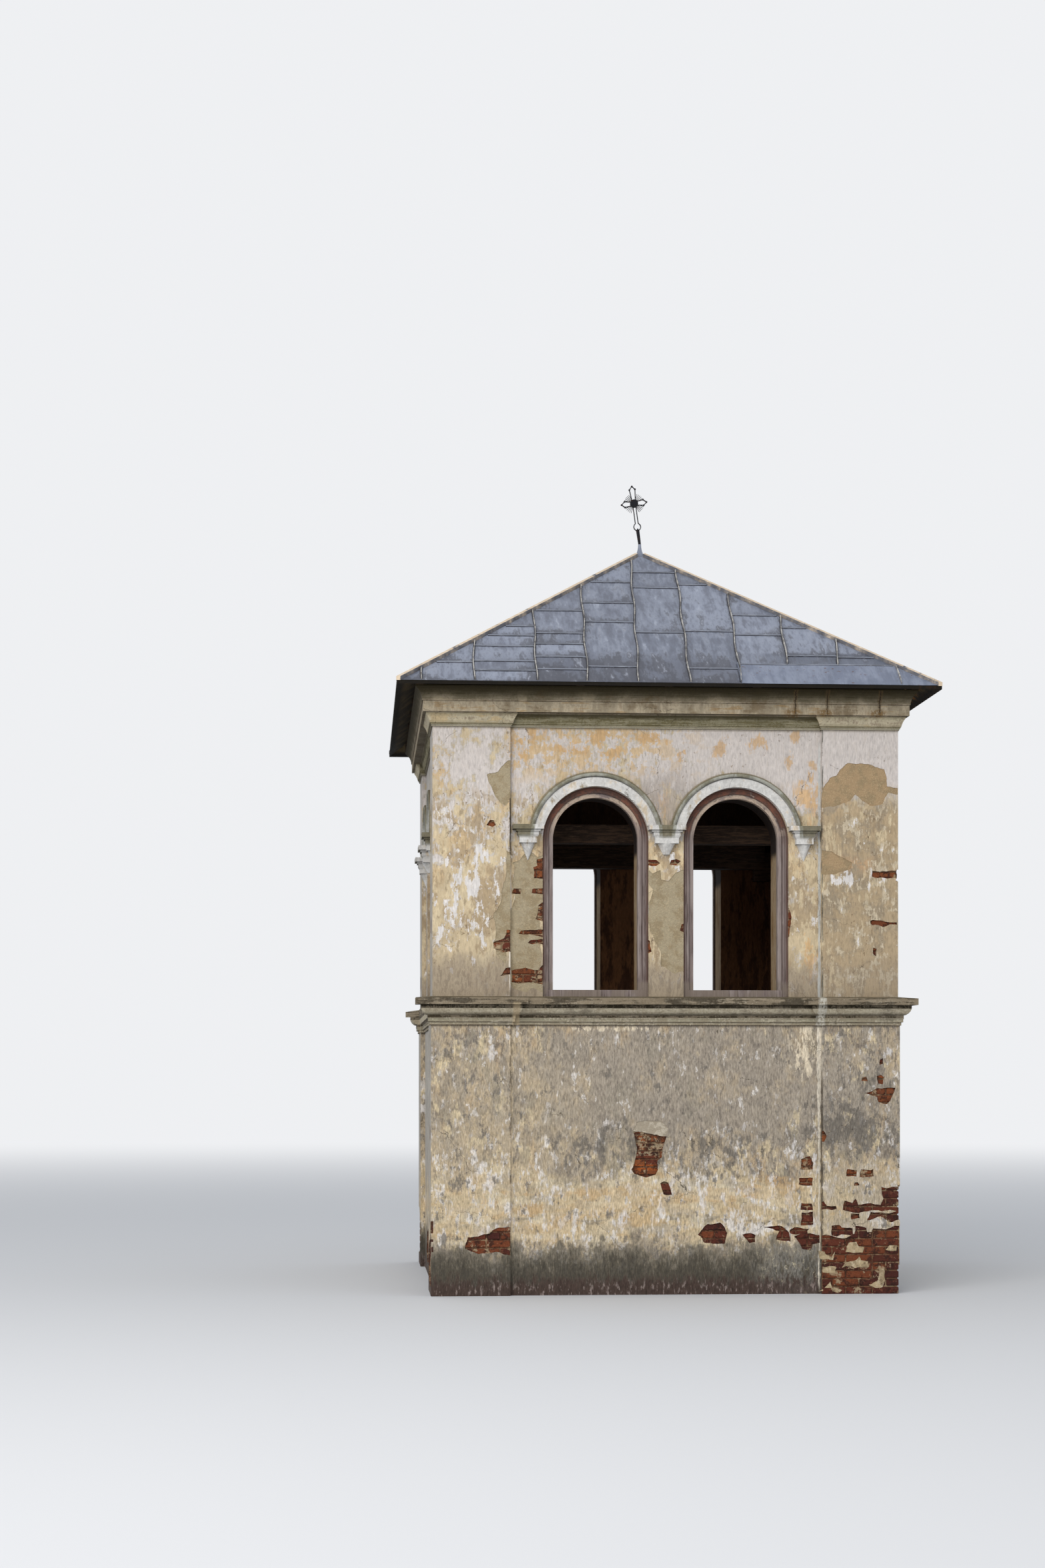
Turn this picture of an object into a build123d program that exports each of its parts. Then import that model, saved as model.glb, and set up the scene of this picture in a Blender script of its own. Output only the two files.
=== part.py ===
from build123d import *
import os
from math import cos, radians, sqrt, tan

# Two-storey square bell tower. Millimetres, +Z up, front towards -Y, right side towards +X.
# The origin lies on the ground at the centre of the plan.

# Masonry shell, measured over the pilasters of the bell storey
tower_width = 4500
wall_thickness = 600
pilaster_width = 745
pilaster_projection = 50
lower_set_out = 15
lower_height = 2590
upper_height = 2575

# String course: two fillets, a groove, an ovolo, a stepped slab and a sloping top
fillet_height = 30
low_fillet_projection = 27
high_fillet_projection = 42
groove_height = 38
groove_projection = 46
ovolo_height = 67
ovolo_foot_projection = 58
ovolo_projection = 110
ovolo_bulge = 11
step_height = 30
slab_height = 62
slab_projection = 163
weathering_height = 18

# Left string course: the mouldings have fallen off between the front corner and the far corner
broken_from_front = 260
broken_far_end = 520
broken_stub_projection = 14
lump_height = 150

# Cornice: a bed moulding that breaks round the pilasters, then a straight fascia and cavetto
bed_fillet_height = 15
bed_low_fillet_projection = 10
bed_high_fillet_projection = 18
bed_foot_projection = 26
bed_projection = 64
bed_slope_height = 84
bed_top_height = 16
bed_bulge = 6
fascia_height = 100
fascia_projection = 92
corona_fillet_height = 14
corona_fillet_projection = 100
cavetto_height = 111
cavetto_depth = 14
crown_projection = 165
crown_height = 15

# Paired arched openings of the bell storey, which share out the width between the pilasters
middle_pier_width = 340
arch_side_margin = 179
spring_height = 1505
rebate_step = 80
frame_setback = 30
frame_depth = 90
frame_gap = 2
frame_overhang = 20
frame_rail_height = 65
frame_bead_width = 42
frame_bead_step = 16

# Arch bands and the corbels that carry them
archivolt_band_width = 86
archivolt_projection = 32
archivolt_groove_width = 7
archivolt_groove_depth = 10
archivolt_bead_width = 41
archivolt_bead_projection = 40
archivolt_bead_bulge = 16
impost_above_spring = 135
side_corbel_gap = 23
corbel_half_width = 84
corbel_projection = 80
centre_corbel_extra = 30
abacus_height = 45
abacus_overhang = 63
abacus_projection = 130
cushion_height = 20
cushion_overhang = 32
cushion_projection = 108
neck_height = 30
neck_overhang = 16
neck_projection = 95
neck_slope_height = 25
corbel_fascia_height = 52
pendant_height = 158
pendant_radius = 68
pendant_tip_radius = 4
chipped_tip_height = 55

# Floor of the bell storey
board_thickness = 35
board_gap = 5
joist_width = 140
joist_depth = 180
joist_bearing = 150
joist_count = 5
pocket_gap = 2

# Beams across the bell storey and the timber pads under their ends
beam_size = 180
beam_wall_distance = 250
beam_above_floor = 1545
beam_bearing = 200
pad_reach = 210
pad_height = 130
pad_width = 140
pad_bearing = 120

# Roof carpentry
plate_width = 150
plate_height = 100
plate_outset = 50
plate_joint_gap = 1
seat_cut_depth = 41
roof_pitch = 34.4
rafter_depth = 100
rafter_width = 80
hip_width = 100
rafter_offset = 850
roof_board_thickness = 25
tie_beam_width = 160
tie_beam_depth = 180
tie_beam_end_gap = 60
king_post_size = 160

# Sheet metal roof
eaves_overhang = 350
sheet_thickness = 3
drip_height = 32
seam_width = 8
seam_height = 24
seam_spacing = 488
front_seams = [-2357, -1866, -1274, -791, -307, 181, 664]
front_short_seams = [1150, 1640, 2125]
patch_height = 250
hip_cap_width = 56
hip_cap_height = 30
flashing_radius = 70
flashing_neck_radius = 16
flashing_height = 100
flashing_skirt = 60
flashing_hollow = 14

# Wrought-iron cross
pin_radius = 10
pin_gap = 0.5
pin_depth = 180
cross_lean = 7.8
bar_width = 9
bar_thickness = 12
stem_height = 150
stem_foot_width = 26
stem_top_width = 34
lyre_height = 172
lyre_half_width = 33
lyre_neck_height = 222
bar_spacing = 30
boss_height = 435
boss_radius = 42
boss_thickness = 30
cross_height = 616
arm_reach = 133
arm_loop_half_width = 30
arm_end_length = 34
knob_radius = 9
knob_thickness = 16
stem_thickness = 20
ray_length = 105
ray_width = 5
ray_angles = [25, 35, 45, 55, 65]

# What cuts reach past the surface that they cut
cut_margin = 1

# Levels and half widths that follow from the sizes above
half = tower_width / 2
room_half = half - wall_thickness
panel_half = half - pilaster_projection
pier_inner = half - pilaster_width
pier_centre = half - pilaster_width / 2
beam_offset = room_half - beam_wall_distance
lower_half = half + lower_set_out
lower_panel_half = lower_half - pilaster_projection
groove_level = 2 * fillet_height
ovolo_level = groove_level + groove_height
step_level = ovolo_level + ovolo_height
slab_level = step_level + step_height
slab_top_level = slab_level + slab_height
string_height = slab_top_level + weathering_height
floor_level = lower_height + string_height
spring_level = floor_level + spring_height
impost_level = spring_level + impost_above_spring
bed_level = floor_level + upper_height
bed_height = 2 * bed_fillet_height + bed_slope_height + bed_top_height
fascia_top = bed_height + fascia_height
cavetto_level = fascia_top + corona_fillet_height
cavetto_top = cavetto_level + cavetto_height
cornice_height = cavetto_top + crown_height
wall_top = bed_level + cornice_height
reach = 2 * tower_width

archivolt_width = archivolt_band_width + archivolt_groove_width + archivolt_bead_width
rebate_far_side = pier_inner - arch_side_margin - archivolt_width - frame_gap
rebate_half_width = (rebate_far_side - middle_pier_width / 2) / 2
opening_offset = (rebate_far_side + middle_pier_width / 2) / 2
opening_half_width = rebate_half_width - rebate_step
frame_clear_half_width = opening_half_width - frame_overhang
archivolt_inner_radius = rebate_half_width + frame_gap
archivolt_band_radius = archivolt_inner_radius + archivolt_band_width
archivolt_outer_radius = archivolt_inner_radius + archivolt_width
side_corbel_offset = pier_inner - side_corbel_gap - abacus_overhang - corbel_half_width

slope = tan(radians(roof_pitch))
roof_half = half + eaves_overhang
plate_half = half + plate_outset
plate_top = wall_top + plate_height
rafter_apex = plate_top - seat_cut_depth + plate_half * slope
board_apex = rafter_apex + rafter_depth / cos(radians(roof_pitch))
sheet_apex = board_apex + roof_board_thickness / cos(radians(roof_pitch))
roof_apex = sheet_apex + sheet_thickness / cos(radians(roof_pitch))
flashing_top = roof_apex + flashing_height

SIDES = {"front": 0, "right": 90, "back": 180, "left": 270}


def box_between(x_from, x_to, y_from, y_to, z_from, z_to):
    centre = Pos((x_from + x_to) / 2, (y_from + y_to) / 2, (z_from + z_to) / 2)
    return centre * Box(x_to - x_from, y_to - y_from, z_to - z_from)


def square_block(half_width, z_from, z_to):
    return box_between(-half_width, half_width, -half_width, half_width, z_from, z_to)


def turned(shape, angle):
    return Rot(0, 0, angle) * shape


def in_four_corners(shape):
    return [turned(shape, angle) for angle in SIDES.values()]


def save(node, solids):
    shape = solids if isinstance(solids, (Part, Solid, Compound)) else Compound(children=list(solids))
    export_step(shape, os.path.join("parts", node + ".step"))


# Outlines. A moulding is a list of (projection, height, bulge); the bulge is the rise of the arc
# that leads up to the point, outwards where positive, and 0 for a straight stretch.

def bulged_edge(start, end, bulge):
    if bulge == 0:
        return Line(start, end)
    run, rise = end[0] - start[0], end[1] - start[1]
    chord = sqrt(run * run + rise * rise)
    middle = ((start[0] + end[0]) / 2 + bulge * rise / chord, (start[1] + end[1]) / 2 - bulge * run / chord)
    return ThreePointArc(start, middle, end)


def polygon(points):
    # A closed outline through the points, with repeated ones left out
    kept = [point for point, before in zip(points, [None] + points) if point != before]
    return make_face(Polyline(*kept, kept[0]))


def moulding_face(half_width, moulding):
    foot = (0, moulding[0][1])
    head = (0, moulding[-1][1])
    points = [(half_width + projection, height) for projection, height, bulge in moulding]
    edges = [Line(foot, points[0])]
    for start, end, (projection, height, bulge) in zip(points, points[1:], moulding[1:]):
        edges.append(bulged_edge(start, end, bulge))
    edges.append(Line(points[-1], head))
    edges += [mirror(edge, about=Plane.YZ) for edge in edges]
    return make_face(edges)


def moulded_block(half_width, moulding):
    # A square block with the moulding run round all four sides, mitred at its corners
    along = extrude(Plane.XZ * moulding_face(half_width, moulding), amount=reach, both=True)
    return along & turned(along, 90)


def quadrant(z_from, z_to):
    # The front quarter of the plan, between the two diagonals
    outline = make_face(Polyline((0, 0), (-reach, -reach), (reach, -reach), (0, 0)))
    return extrude(Pos(0, 0, z_from) * outline, amount=z_to - z_from)


def moulded_course(broken_moulding, straight_moulding, level):
    # A ring of masonry under the mouldings; the first breaks forward round the pilasters
    height = max(broken_moulding[-1][1], straight_moulding[-1][1] if straight_moulding else 0)
    course = moulded_block(panel_half, broken_moulding)
    pier_block = moulded_block(pilaster_width / 2, broken_moulding)
    for pier in in_four_corners(Pos(pier_centre, pier_centre, 0) * pier_block):
        course += pier
    if straight_moulding:
        course += moulded_block(half, straight_moulding)
    course -= square_block(room_half, -cut_margin, height + cut_margin)
    return Pos(0, 0, level) * course


def arched_prism(half_width, x_centre, y_from, y_to, sill, spring):
    outline = make_face([
        Line((-half_width, sill), (half_width, sill)),
        Line((half_width, sill), (half_width, spring)),
        ThreePointArc((half_width, spring), (0, spring + half_width), (-half_width, spring)),
        Line((-half_width, spring), (-half_width, sill)),
    ])
    plane = Plane(origin=(x_centre, y_to, 0), x_dir=(1, 0, 0), z_dir=(0, -1, 0))
    return extrude(plane * outline, amount=y_to - y_from)


# Lower storey

def lower_wall():
    return box_between(-pier_inner, pier_inner, -lower_panel_half, -room_half, 0, lower_height)


def corner_pier(outer, z_from, z_to):
    pier = box_between(pier_inner, outer, pier_inner, outer, z_from, z_to)
    return pier - square_block(room_half, z_from - cut_margin, z_to + cut_margin)


# String course

def string_moulding():
    return [
        (low_fillet_projection, 0, 0),
        (low_fillet_projection, fillet_height, 0),
        (high_fillet_projection, fillet_height, 0),
        (high_fillet_projection, groove_level, 0),
        (groove_projection, groove_level, 0),
        (groove_projection, ovolo_level, 0),
        (ovolo_foot_projection, ovolo_level, 0),
        (ovolo_projection, step_level, ovolo_bulge),
        (ovolo_projection, slab_level, 0),
        (slab_projection, slab_level, 0),
        (slab_projection, slab_top_level, 0),
        (0, string_height, 0),
    ]


def joist_places():
    spacing = 2 * room_half / joist_count
    return [-room_half + spacing * (index + 0.5) for index in range(joist_count)]


def joist_at(x_centre, side_gap, top_gap, end_gap):
    top = floor_level - board_thickness
    end = room_half + joist_bearing + end_gap
    side = joist_width / 2 + side_gap
    return box_between(x_centre - side, x_centre + side, -end, end, top - joist_depth, top + top_gap)


def broken_left_course(course):
    # Nothing but a rough stub is left between the two corners, and a low lump at the far one
    face = half + broken_stub_projection
    front_end = -half - slab_projection + broken_from_front
    far_end = half - broken_far_end
    top = floor_level + cut_margin
    fallen = box_between(-reach, -face, front_end, far_end, lower_height - cut_margin, top)
    fallen_far = box_between(
        -reach, -face, far_end - cut_margin, reach, lower_height + lump_height, top)
    fallen_far &= turned(quadrant(lower_height, top), SIDES["left"])
    return course - fallen - fallen_far


# Bell storey

def upper_wall():
    wall = box_between(-pier_inner, pier_inner, -panel_half, -room_half, floor_level, bed_level)
    frame_back = -panel_half + frame_setback + frame_depth
    for x_centre in (-opening_offset, opening_offset):
        wall -= arched_prism(
            opening_half_width, x_centre, -panel_half, -room_half, floor_level, spring_level)
        wall -= arched_prism(
            rebate_half_width, x_centre, -panel_half, frame_back, floor_level, spring_level)
    return wall


def beam_at(y_centre, side_gap, end_gap):
    under = floor_level + beam_above_floor
    end = room_half + beam_bearing + end_gap
    side = beam_size / 2 + side_gap
    return box_between(-end, end, y_centre - side, y_centre + side, under, under + beam_size + side_gap)


def pad_at(y_centre, side_gap, end_gap):
    top = floor_level + beam_above_floor
    end = room_half + pad_bearing + end_gap
    side = pad_width / 2 + side_gap
    return box_between(room_half - pad_reach, end, y_centre - side, y_centre + side, top - pad_height, top)


def window_frame(x_centre):
    front = -panel_half + frame_setback
    back = front + frame_depth
    clear_sill = floor_level + frame_rail_height
    frame = arched_prism(
        rebate_half_width - frame_gap, x_centre, front, back, floor_level, spring_level)
    frame -= arched_prism(frame_clear_half_width, x_centre, front, back, clear_sill, spring_level)
    step = arched_prism(
        frame_clear_half_width + frame_bead_width, x_centre,
        front, front + frame_bead_step, clear_sill, spring_level)
    return frame - step


def archivolt(x_centre):
    groove_end = archivolt_band_radius + archivolt_groove_width
    bead_middle = (groove_end + archivolt_outer_radius) / 2
    bead_top = archivolt_bead_projection + archivolt_bead_bulge
    groove_floor = archivolt_projection - archivolt_groove_depth
    outline = make_face([
        Polyline(
            (archivolt_outer_radius, archivolt_bead_projection),
            (archivolt_outer_radius, 0),
            (archivolt_inner_radius, 0),
            (archivolt_inner_radius, archivolt_projection),
            (archivolt_band_radius, archivolt_projection),
            (archivolt_band_radius, groove_floor),
            (groove_end, groove_floor),
            (groove_end, archivolt_bead_projection)),
        ThreePointArc(
            (groove_end, archivolt_bead_projection),
            (bead_middle, bead_top),
            (archivolt_outer_radius, archivolt_bead_projection)),
    ])
    plane = Plane(origin=(x_centre, -panel_half, spring_level), x_dir=(1, 0, 0), z_dir=(0, 0, -1))
    ring = revolve(plane * outline, Axis((x_centre, 0, spring_level), (0, 1, 0)))
    upper = box_between(-reach, reach, -reach, reach, impost_level, impost_level + reach)
    return ring & upper


def corbel(x_centre, extra, tip_loss):
    # Stepped courses from the top down, as (height, overhang and projection at top, at bottom)
    rows = [
        (abacus_height, abacus_overhang, abacus_projection, abacus_overhang, abacus_projection),
        (cushion_height, cushion_overhang, cushion_projection, cushion_overhang, cushion_projection),
        (neck_height, neck_overhang, neck_projection, neck_overhang, neck_projection),
        (neck_slope_height, neck_overhang, neck_projection, 0, corbel_projection),
        (corbel_fascia_height, 0, corbel_projection, 0, corbel_projection),
    ]
    front_right, side_outer, level = [], [], impost_level
    for height, top_overhang, top_projection, low_overhang, low_projection in rows:
        front_right.append((corbel_half_width + extra + top_overhang, level))
        side_outer.append((panel_half + top_projection, level))
        level -= height
        front_right.append((corbel_half_width + extra + low_overhang, level))
        side_outer.append((panel_half + low_projection, level))
    front_left = [(-x, z) for x, z in reversed(front_right)]
    front_outline = polygon(front_right + front_left)
    side_outline = polygon(side_outer + [(panel_half, level), (panel_half, impost_level)])
    seen_from_front = extrude(Plane.XZ * front_outline, amount=reach)
    side_plane = Plane(origin=(0, 0, 0), x_dir=(0, -1, 0), z_dir=(-1, 0, 0))
    seen_from_side = extrude(side_plane * side_outline, amount=reach, both=True)
    stack = seen_from_front & seen_from_side
    cone = Cone(pendant_tip_radius, pendant_radius + extra / 2, pendant_height)
    pendant = Pos(0, -panel_half, level - pendant_height / 2) * cone
    pendant &= box_between(
        -reach, reach, -reach, -panel_half, level - pendant_height + tip_loss, level)
    return Pos(x_centre, 0, 0) * (stack + pendant)


def cornice_mouldings():
    bed = [
        (bed_low_fillet_projection, 0, 0),
        (bed_low_fillet_projection, bed_fillet_height, 0),
        (bed_high_fillet_projection, bed_fillet_height, 0),
        (bed_high_fillet_projection, 2 * bed_fillet_height, 0),
        (bed_foot_projection, 2 * bed_fillet_height, 0),
        (bed_projection, 2 * bed_fillet_height + bed_slope_height, -bed_bulge),
        (bed_projection, bed_height, 0),
    ]
    corona = [
        (fascia_projection, bed_height, 0),
        (fascia_projection, fascia_top, 0),
        (corona_fillet_projection, fascia_top, 0),
        (corona_fillet_projection, cavetto_level, 0),
        (crown_projection, cavetto_top, -cavetto_depth),
        (crown_projection, cornice_height, 0),
    ]
    return bed, corona


# Roof. A pyramid is all that lies under the four slopes that meet at the given height.

def pyramid(apex, z_base):
    half_width = (apex - z_base) / slope
    outline = make_face(Polyline(
        (-half_width, z_base), (half_width, z_base), (0, apex), (-half_width, z_base)))
    ridge = extrude(Plane.XZ * outline, amount=half_width, both=True)
    return ridge & turned(ridge, 90)


def diagonal_slabs(width, z_from, z_to):
    slab = box_between(-reach, reach, -width / 2, width / 2, z_from, z_to)
    return turned(slab, 45) + turned(slab, 135)


def pin_hole(z_from, z_to):
    hole = Cylinder(pin_radius + pin_gap, z_to - z_from)
    return Pos(0, 0, (z_from + z_to) / 2) * hole


def make_roof():
    plate_inner = plate_half - plate_width
    long_plate = box_between(-plate_half, plate_half, -plate_half, -plate_inner, wall_top, plate_top)
    short_end = plate_inner - plate_joint_gap
    short_plate = box_between(
        -plate_half, -plate_inner, -short_end, short_end, wall_top, plate_top)
    plates = [long_plate, turned(long_plate, 180), short_plate, turned(short_plate, 180)]
    save("wall_plates", plates)

    tie_half = plate_inner - tie_beam_end_gap
    tie_top = wall_top + tie_beam_depth
    save("tie_beam", box_between(
        -tie_half, tie_half, -tie_beam_width / 2, tie_beam_width / 2, wall_top, tie_top))

    under_boards = pyramid(board_apex, wall_top)
    post = square_block(king_post_size / 2, tie_top, board_apex) & under_boards
    save("king_post", post - pin_hole(board_apex - pin_depth, roof_apex))

    # Rafters: the layer under the boards, cut into strips, seated on plates and cornice
    rafter_end = half + crown_projection
    layer = under_boards - pyramid(rafter_apex, wall_top - cut_margin)
    layer &= square_block(rafter_end, wall_top, roof_apex)
    layer -= square_block(king_post_size / 2, wall_top, roof_apex)
    for plate in plates:
        layer -= plate
    hip_strips = diagonal_slabs(hip_width, wall_top, roof_apex)
    save("hip_rafters", (layer & hip_strips).solids())

    common = []
    front_layer = layer & quadrant(wall_top, roof_apex)
    front_layer -= hip_strips
    for x_centre in (-rafter_offset, 0, rafter_offset):
        side = rafter_width / 2
        strip = box_between(x_centre - side, x_centre + side, -reach, 0, wall_top, roof_apex)
        common.append(front_layer & strip)
    rafters = [turned(rafter, angle) for rafter in common for angle in SIDES.values()]
    save("common_rafters", [solid for rafter in rafters for solid in rafter.solids()])

    eave_level = roof_apex - roof_half * slope
    low = eave_level - reach / 10
    board_half = roof_half - sheet_thickness
    boarding = pyramid(sheet_apex, low) - pyramid(board_apex, low - cut_margin)
    boarding &= square_block(board_half, low, roof_apex)
    boarding -= pin_hole(low, roof_apex)
    save("roof_boarding", boarding)

    # Sheets: a skin on the boards, turned down at the eaves, with standing seams up the slope
    roof_body = pyramid(roof_apex, low)
    skin = roof_body - pyramid(sheet_apex, low - cut_margin)
    skin &= square_block(roof_half, low, roof_apex)
    drip = square_block(roof_half, eave_level - drip_height, roof_apex)
    drip -= square_block(board_half, low, roof_apex + cut_margin)
    drip &= roof_body
    skin += drip
    skin -= pin_hole(low, roof_apex)
    front_skin = skin & quadrant(low, roof_apex)

    seam_apex = roof_apex + seam_height / cos(radians(roof_pitch))
    hip_cap_strips = diagonal_slabs(hip_cap_width, low, seam_apex)
    seam_layer = pyramid(seam_apex, low) - pyramid(roof_apex, low - cut_margin)
    seam_layer &= square_block(roof_half, low, seam_apex)
    seam_layer &= quadrant(low, seam_apex)
    seam_layer -= hip_cap_strips
    seam_layer -= Pos(0, 0, roof_apex) * Cylinder(flashing_radius, reach)

    def sheet_with_seams(full_seams, short_seams):
        sheet = front_skin
        short_from = -roof_half + patch_height / slope
        for x_centre in full_seams + short_seams:
            y_from = short_from if x_centre in short_seams else -reach
            side = seam_width / 2
            strip = box_between(x_centre - side, x_centre + side, y_from, 0, low, seam_apex)
            sheet += seam_layer & strip
        return sheet

    last_seam = int((roof_half - hip_cap_width) / seam_spacing)
    even_seams = [seam_spacing * index for index in range(-last_seam, last_seam + 1)]
    for side_name, angle in SIDES.items():
        if side_name == "front":
            sheet = sheet_with_seams(front_seams, front_short_seams)
        else:
            sheet = sheet_with_seams(even_seams, [])
        save("roof_sheet_" + side_name, turned(sheet, angle))

    cap_apex = roof_apex + hip_cap_height / cos(radians(roof_pitch))
    caps = pyramid(cap_apex, low) - roof_body
    caps &= square_block(roof_half, low, cap_apex)
    caps &= diagonal_slabs(hip_cap_width, low, cap_apex)
    caps -= Pos(0, 0, roof_apex) * Cylinder(flashing_radius + pin_gap, reach)
    save("hip_caps", caps.solids())

    skirt_level = roof_apex - flashing_skirt
    cone_outline = make_face([
        Polyline(
            (flashing_neck_radius, flashing_top),
            (0, flashing_top),
            (0, skirt_level),
            (flashing_radius, skirt_level)),
        bulged_edge(
            (flashing_radius, skirt_level), (flashing_neck_radius, flashing_top), -flashing_hollow),
    ])
    flashing = revolve(Plane.XZ * cone_outline, Axis.Z) - roof_body
    save("finial_flashing", flashing - pin_hole(low, flashing_top + cut_margin))


# Wrought-iron cross: flat bars in one plane that leans to the left over its pin

def bar_between(start, end, width):
    run, rise = end[0] - start[0], end[1] - start[1]
    length = sqrt(run * run + rise * rise)
    half_side = width / 2
    side = (-rise / length * half_side, run / length * half_side)
    return make_face(Polyline(
        (start[0] + side[0], start[1] + side[1]),
        (start[0] - side[0], start[1] - side[1]),
        (end[0] - side[0], end[1] - side[1]),
        (end[0] + side[0], end[1] + side[1]),
        (start[0] + side[0], start[1] + side[1])))


def flat_bar(outline, thickness):
    return extrude(Plane.XZ * outline, amount=thickness / 2, both=True)


def lyre_bar(side):
    # From the head of the stem out round the lyre and in again to its neck
    arc = ThreePointArc(
        (side * stem_top_width / 4, stem_height),
        (side * lyre_half_width, lyre_height),
        (side * bar_spacing / 2, lyre_neck_height))
    return trace(arc, bar_width)


def arm_bars(x_reach):
    # Two bars that spread into a pointed loop with a knob on each shoulder and at the tip
    shoulder = x_reach - arm_end_length
    tip = (x_reach, 0)
    bars = []
    for side in (-1, 1):
        corner = (shoulder, side * arm_loop_half_width)
        bars.append(flat_bar(bar_between((0, side * bar_spacing / 2), corner, bar_width), bar_thickness))
        bars.append(flat_bar(bar_between(corner, tip, bar_width), bar_thickness))
        bars.append(flat_bar(Pos(*corner) * Circle(knob_radius), knob_thickness))
    bars.append(flat_bar(Pos(*tip) * Circle(knob_radius), knob_thickness))
    return bars


def make_cross():
    stem = make_face(Polyline(
        (-stem_foot_width / 2, 0),
        (stem_foot_width / 2, 0),
        (stem_top_width / 2, stem_height),
        (0, lyre_height),
        (-stem_top_width / 2, stem_height),
        (-stem_foot_width / 2, 0)))
    pieces = [flat_bar(stem, stem_thickness)]
    for side in (-1, 1):
        neck = (side * bar_spacing / 2, lyre_neck_height)
        shoulder = (side * bar_spacing / 2, boss_height)
        pieces.append(flat_bar(lyre_bar(side), bar_thickness))
        pieces.append(flat_bar(bar_between(neck, shoulder, bar_width), bar_thickness))
    centre = Pos(0, 0, boss_height)
    for quarter, arm in ((0, arm_reach), (90, cross_height - boss_height), (180, arm_reach)):
        pieces += [centre * Rot(0, -quarter, 0) * bar for bar in arm_bars(arm)]
    ray = flat_bar(bar_between((0, 0), (ray_length, 0), ray_width), ray_width)
    for quarter in (0, 90, 180, 270):
        pieces += [centre * Rot(0, -quarter - angle, 0) * ray for angle in ray_angles]
    pieces.append(centre * Rot(90, 0, 0) * Cylinder(boss_radius, boss_thickness))
    pin_foot = board_apex - pin_depth
    pin_length = flashing_top - pin_foot
    pin = Pos(0, 0, pin_foot + pin_length / 2) * Cylinder(pin_radius, pin_length)
    leaning = Pos(0, 0, flashing_top) * Rot(0, -cross_lean, 0) * (Part() + pieces)
    leaning &= box_between(-reach, reach, -reach, reach, flashing_top, flashing_top + reach)
    save("iron_cross", leaning + pin)


os.makedirs("parts", exist_ok=True)

front_lower_wall = lower_wall()
for name, turn in SIDES.items():
    save("lower_" + name + "_wall", turned(front_lower_wall, turn))
save("lower_corner_piers", in_four_corners(corner_pier(lower_half, 0, lower_height)))

string_ring = moulded_course(string_moulding(), None, lower_height)
for x_place in joist_places():
    string_ring -= joist_at(x_place, pocket_gap, pocket_gap, pocket_gap)
for name, turn in SIDES.items():
    string_side = string_ring & turned(quadrant(lower_height, floor_level), turn)
    if name == "left":
        string_side = broken_left_course(string_side)
    save("string_course_" + name, string_side)

front_upper_wall = upper_wall()
beam_pockets = []
for y_place in (-beam_offset, beam_offset):
    beam_pockets.append(beam_at(y_place, pocket_gap, pocket_gap))
    right_pocket = pad_at(y_place, pocket_gap, pocket_gap)
    beam_pockets += [right_pocket, turned(right_pocket, 180)]
for name, turn in SIDES.items():
    upper_side = turned(front_upper_wall, turn)
    if name in ("left", "right"):
        for pocket in beam_pockets:
            upper_side -= pocket
    save("upper_" + name + "_wall", upper_side)
save("upper_corner_piers", in_four_corners(corner_pier(half, floor_level, bed_level)))

side_corbel = corbel(side_corbel_offset, 0, 0)
front_corbels = [side_corbel, corbel(-side_corbel_offset, 0, 0)]
front_corbels.append(corbel(0, centre_corbel_extra, chipped_tip_height))
save("corbels", [turned(piece, turn) for turn in SIDES.values() for piece in front_corbels])
for name, turn in SIDES.items():
    pair = [archivolt(-opening_offset), archivolt(opening_offset)]
    save("archivolts_" + name, [turned(band, turn) for band in pair])
    pair = [window_frame(-opening_offset), window_frame(opening_offset)]
    save("window_frames_" + name, [turned(frame, turn) for frame in pair])

cornice_ring = moulded_course(*cornice_mouldings(), bed_level)
for name, turn in SIDES.items():
    save("cornice_" + name, cornice_ring & turned(quadrant(bed_level, wall_top), turn))

save("floor_joists", [joist_at(x_place, 0, 0, -pocket_gap) for x_place in joist_places()])
save("floor_boards", square_block(room_half - board_gap, floor_level - board_thickness, floor_level))
save("bell_beams", [beam_at(y_place, 0, -pocket_gap) for y_place in (-beam_offset, beam_offset)])
right_pads = [pad_at(y_place, 0, -pocket_gap) for y_place in (-beam_offset, beam_offset)]
save("beam_pads", right_pads + [turned(pad, 180) for pad in right_pads])

make_roof()
make_cross()
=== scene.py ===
# Bell tower of limewashed brick with a seamed sheet roof and a wrought-iron cross
import math
import random

import bmesh
import bpy
from mathutils import Matrix, Vector, noise


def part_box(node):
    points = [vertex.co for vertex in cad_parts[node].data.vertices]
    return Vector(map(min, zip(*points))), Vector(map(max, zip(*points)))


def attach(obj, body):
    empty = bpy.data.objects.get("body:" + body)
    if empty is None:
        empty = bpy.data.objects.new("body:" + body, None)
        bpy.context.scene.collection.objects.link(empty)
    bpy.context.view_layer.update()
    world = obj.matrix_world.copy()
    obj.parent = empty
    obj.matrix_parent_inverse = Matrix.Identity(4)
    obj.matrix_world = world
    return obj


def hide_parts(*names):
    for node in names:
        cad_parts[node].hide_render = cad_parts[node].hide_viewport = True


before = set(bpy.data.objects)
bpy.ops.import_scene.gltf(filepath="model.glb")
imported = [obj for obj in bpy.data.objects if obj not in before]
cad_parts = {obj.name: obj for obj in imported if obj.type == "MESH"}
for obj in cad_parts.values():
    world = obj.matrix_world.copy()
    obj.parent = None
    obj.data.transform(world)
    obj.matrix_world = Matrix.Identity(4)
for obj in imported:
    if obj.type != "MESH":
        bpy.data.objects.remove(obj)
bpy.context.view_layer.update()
print("frame loaded,", len(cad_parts), "nodes")


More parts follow.
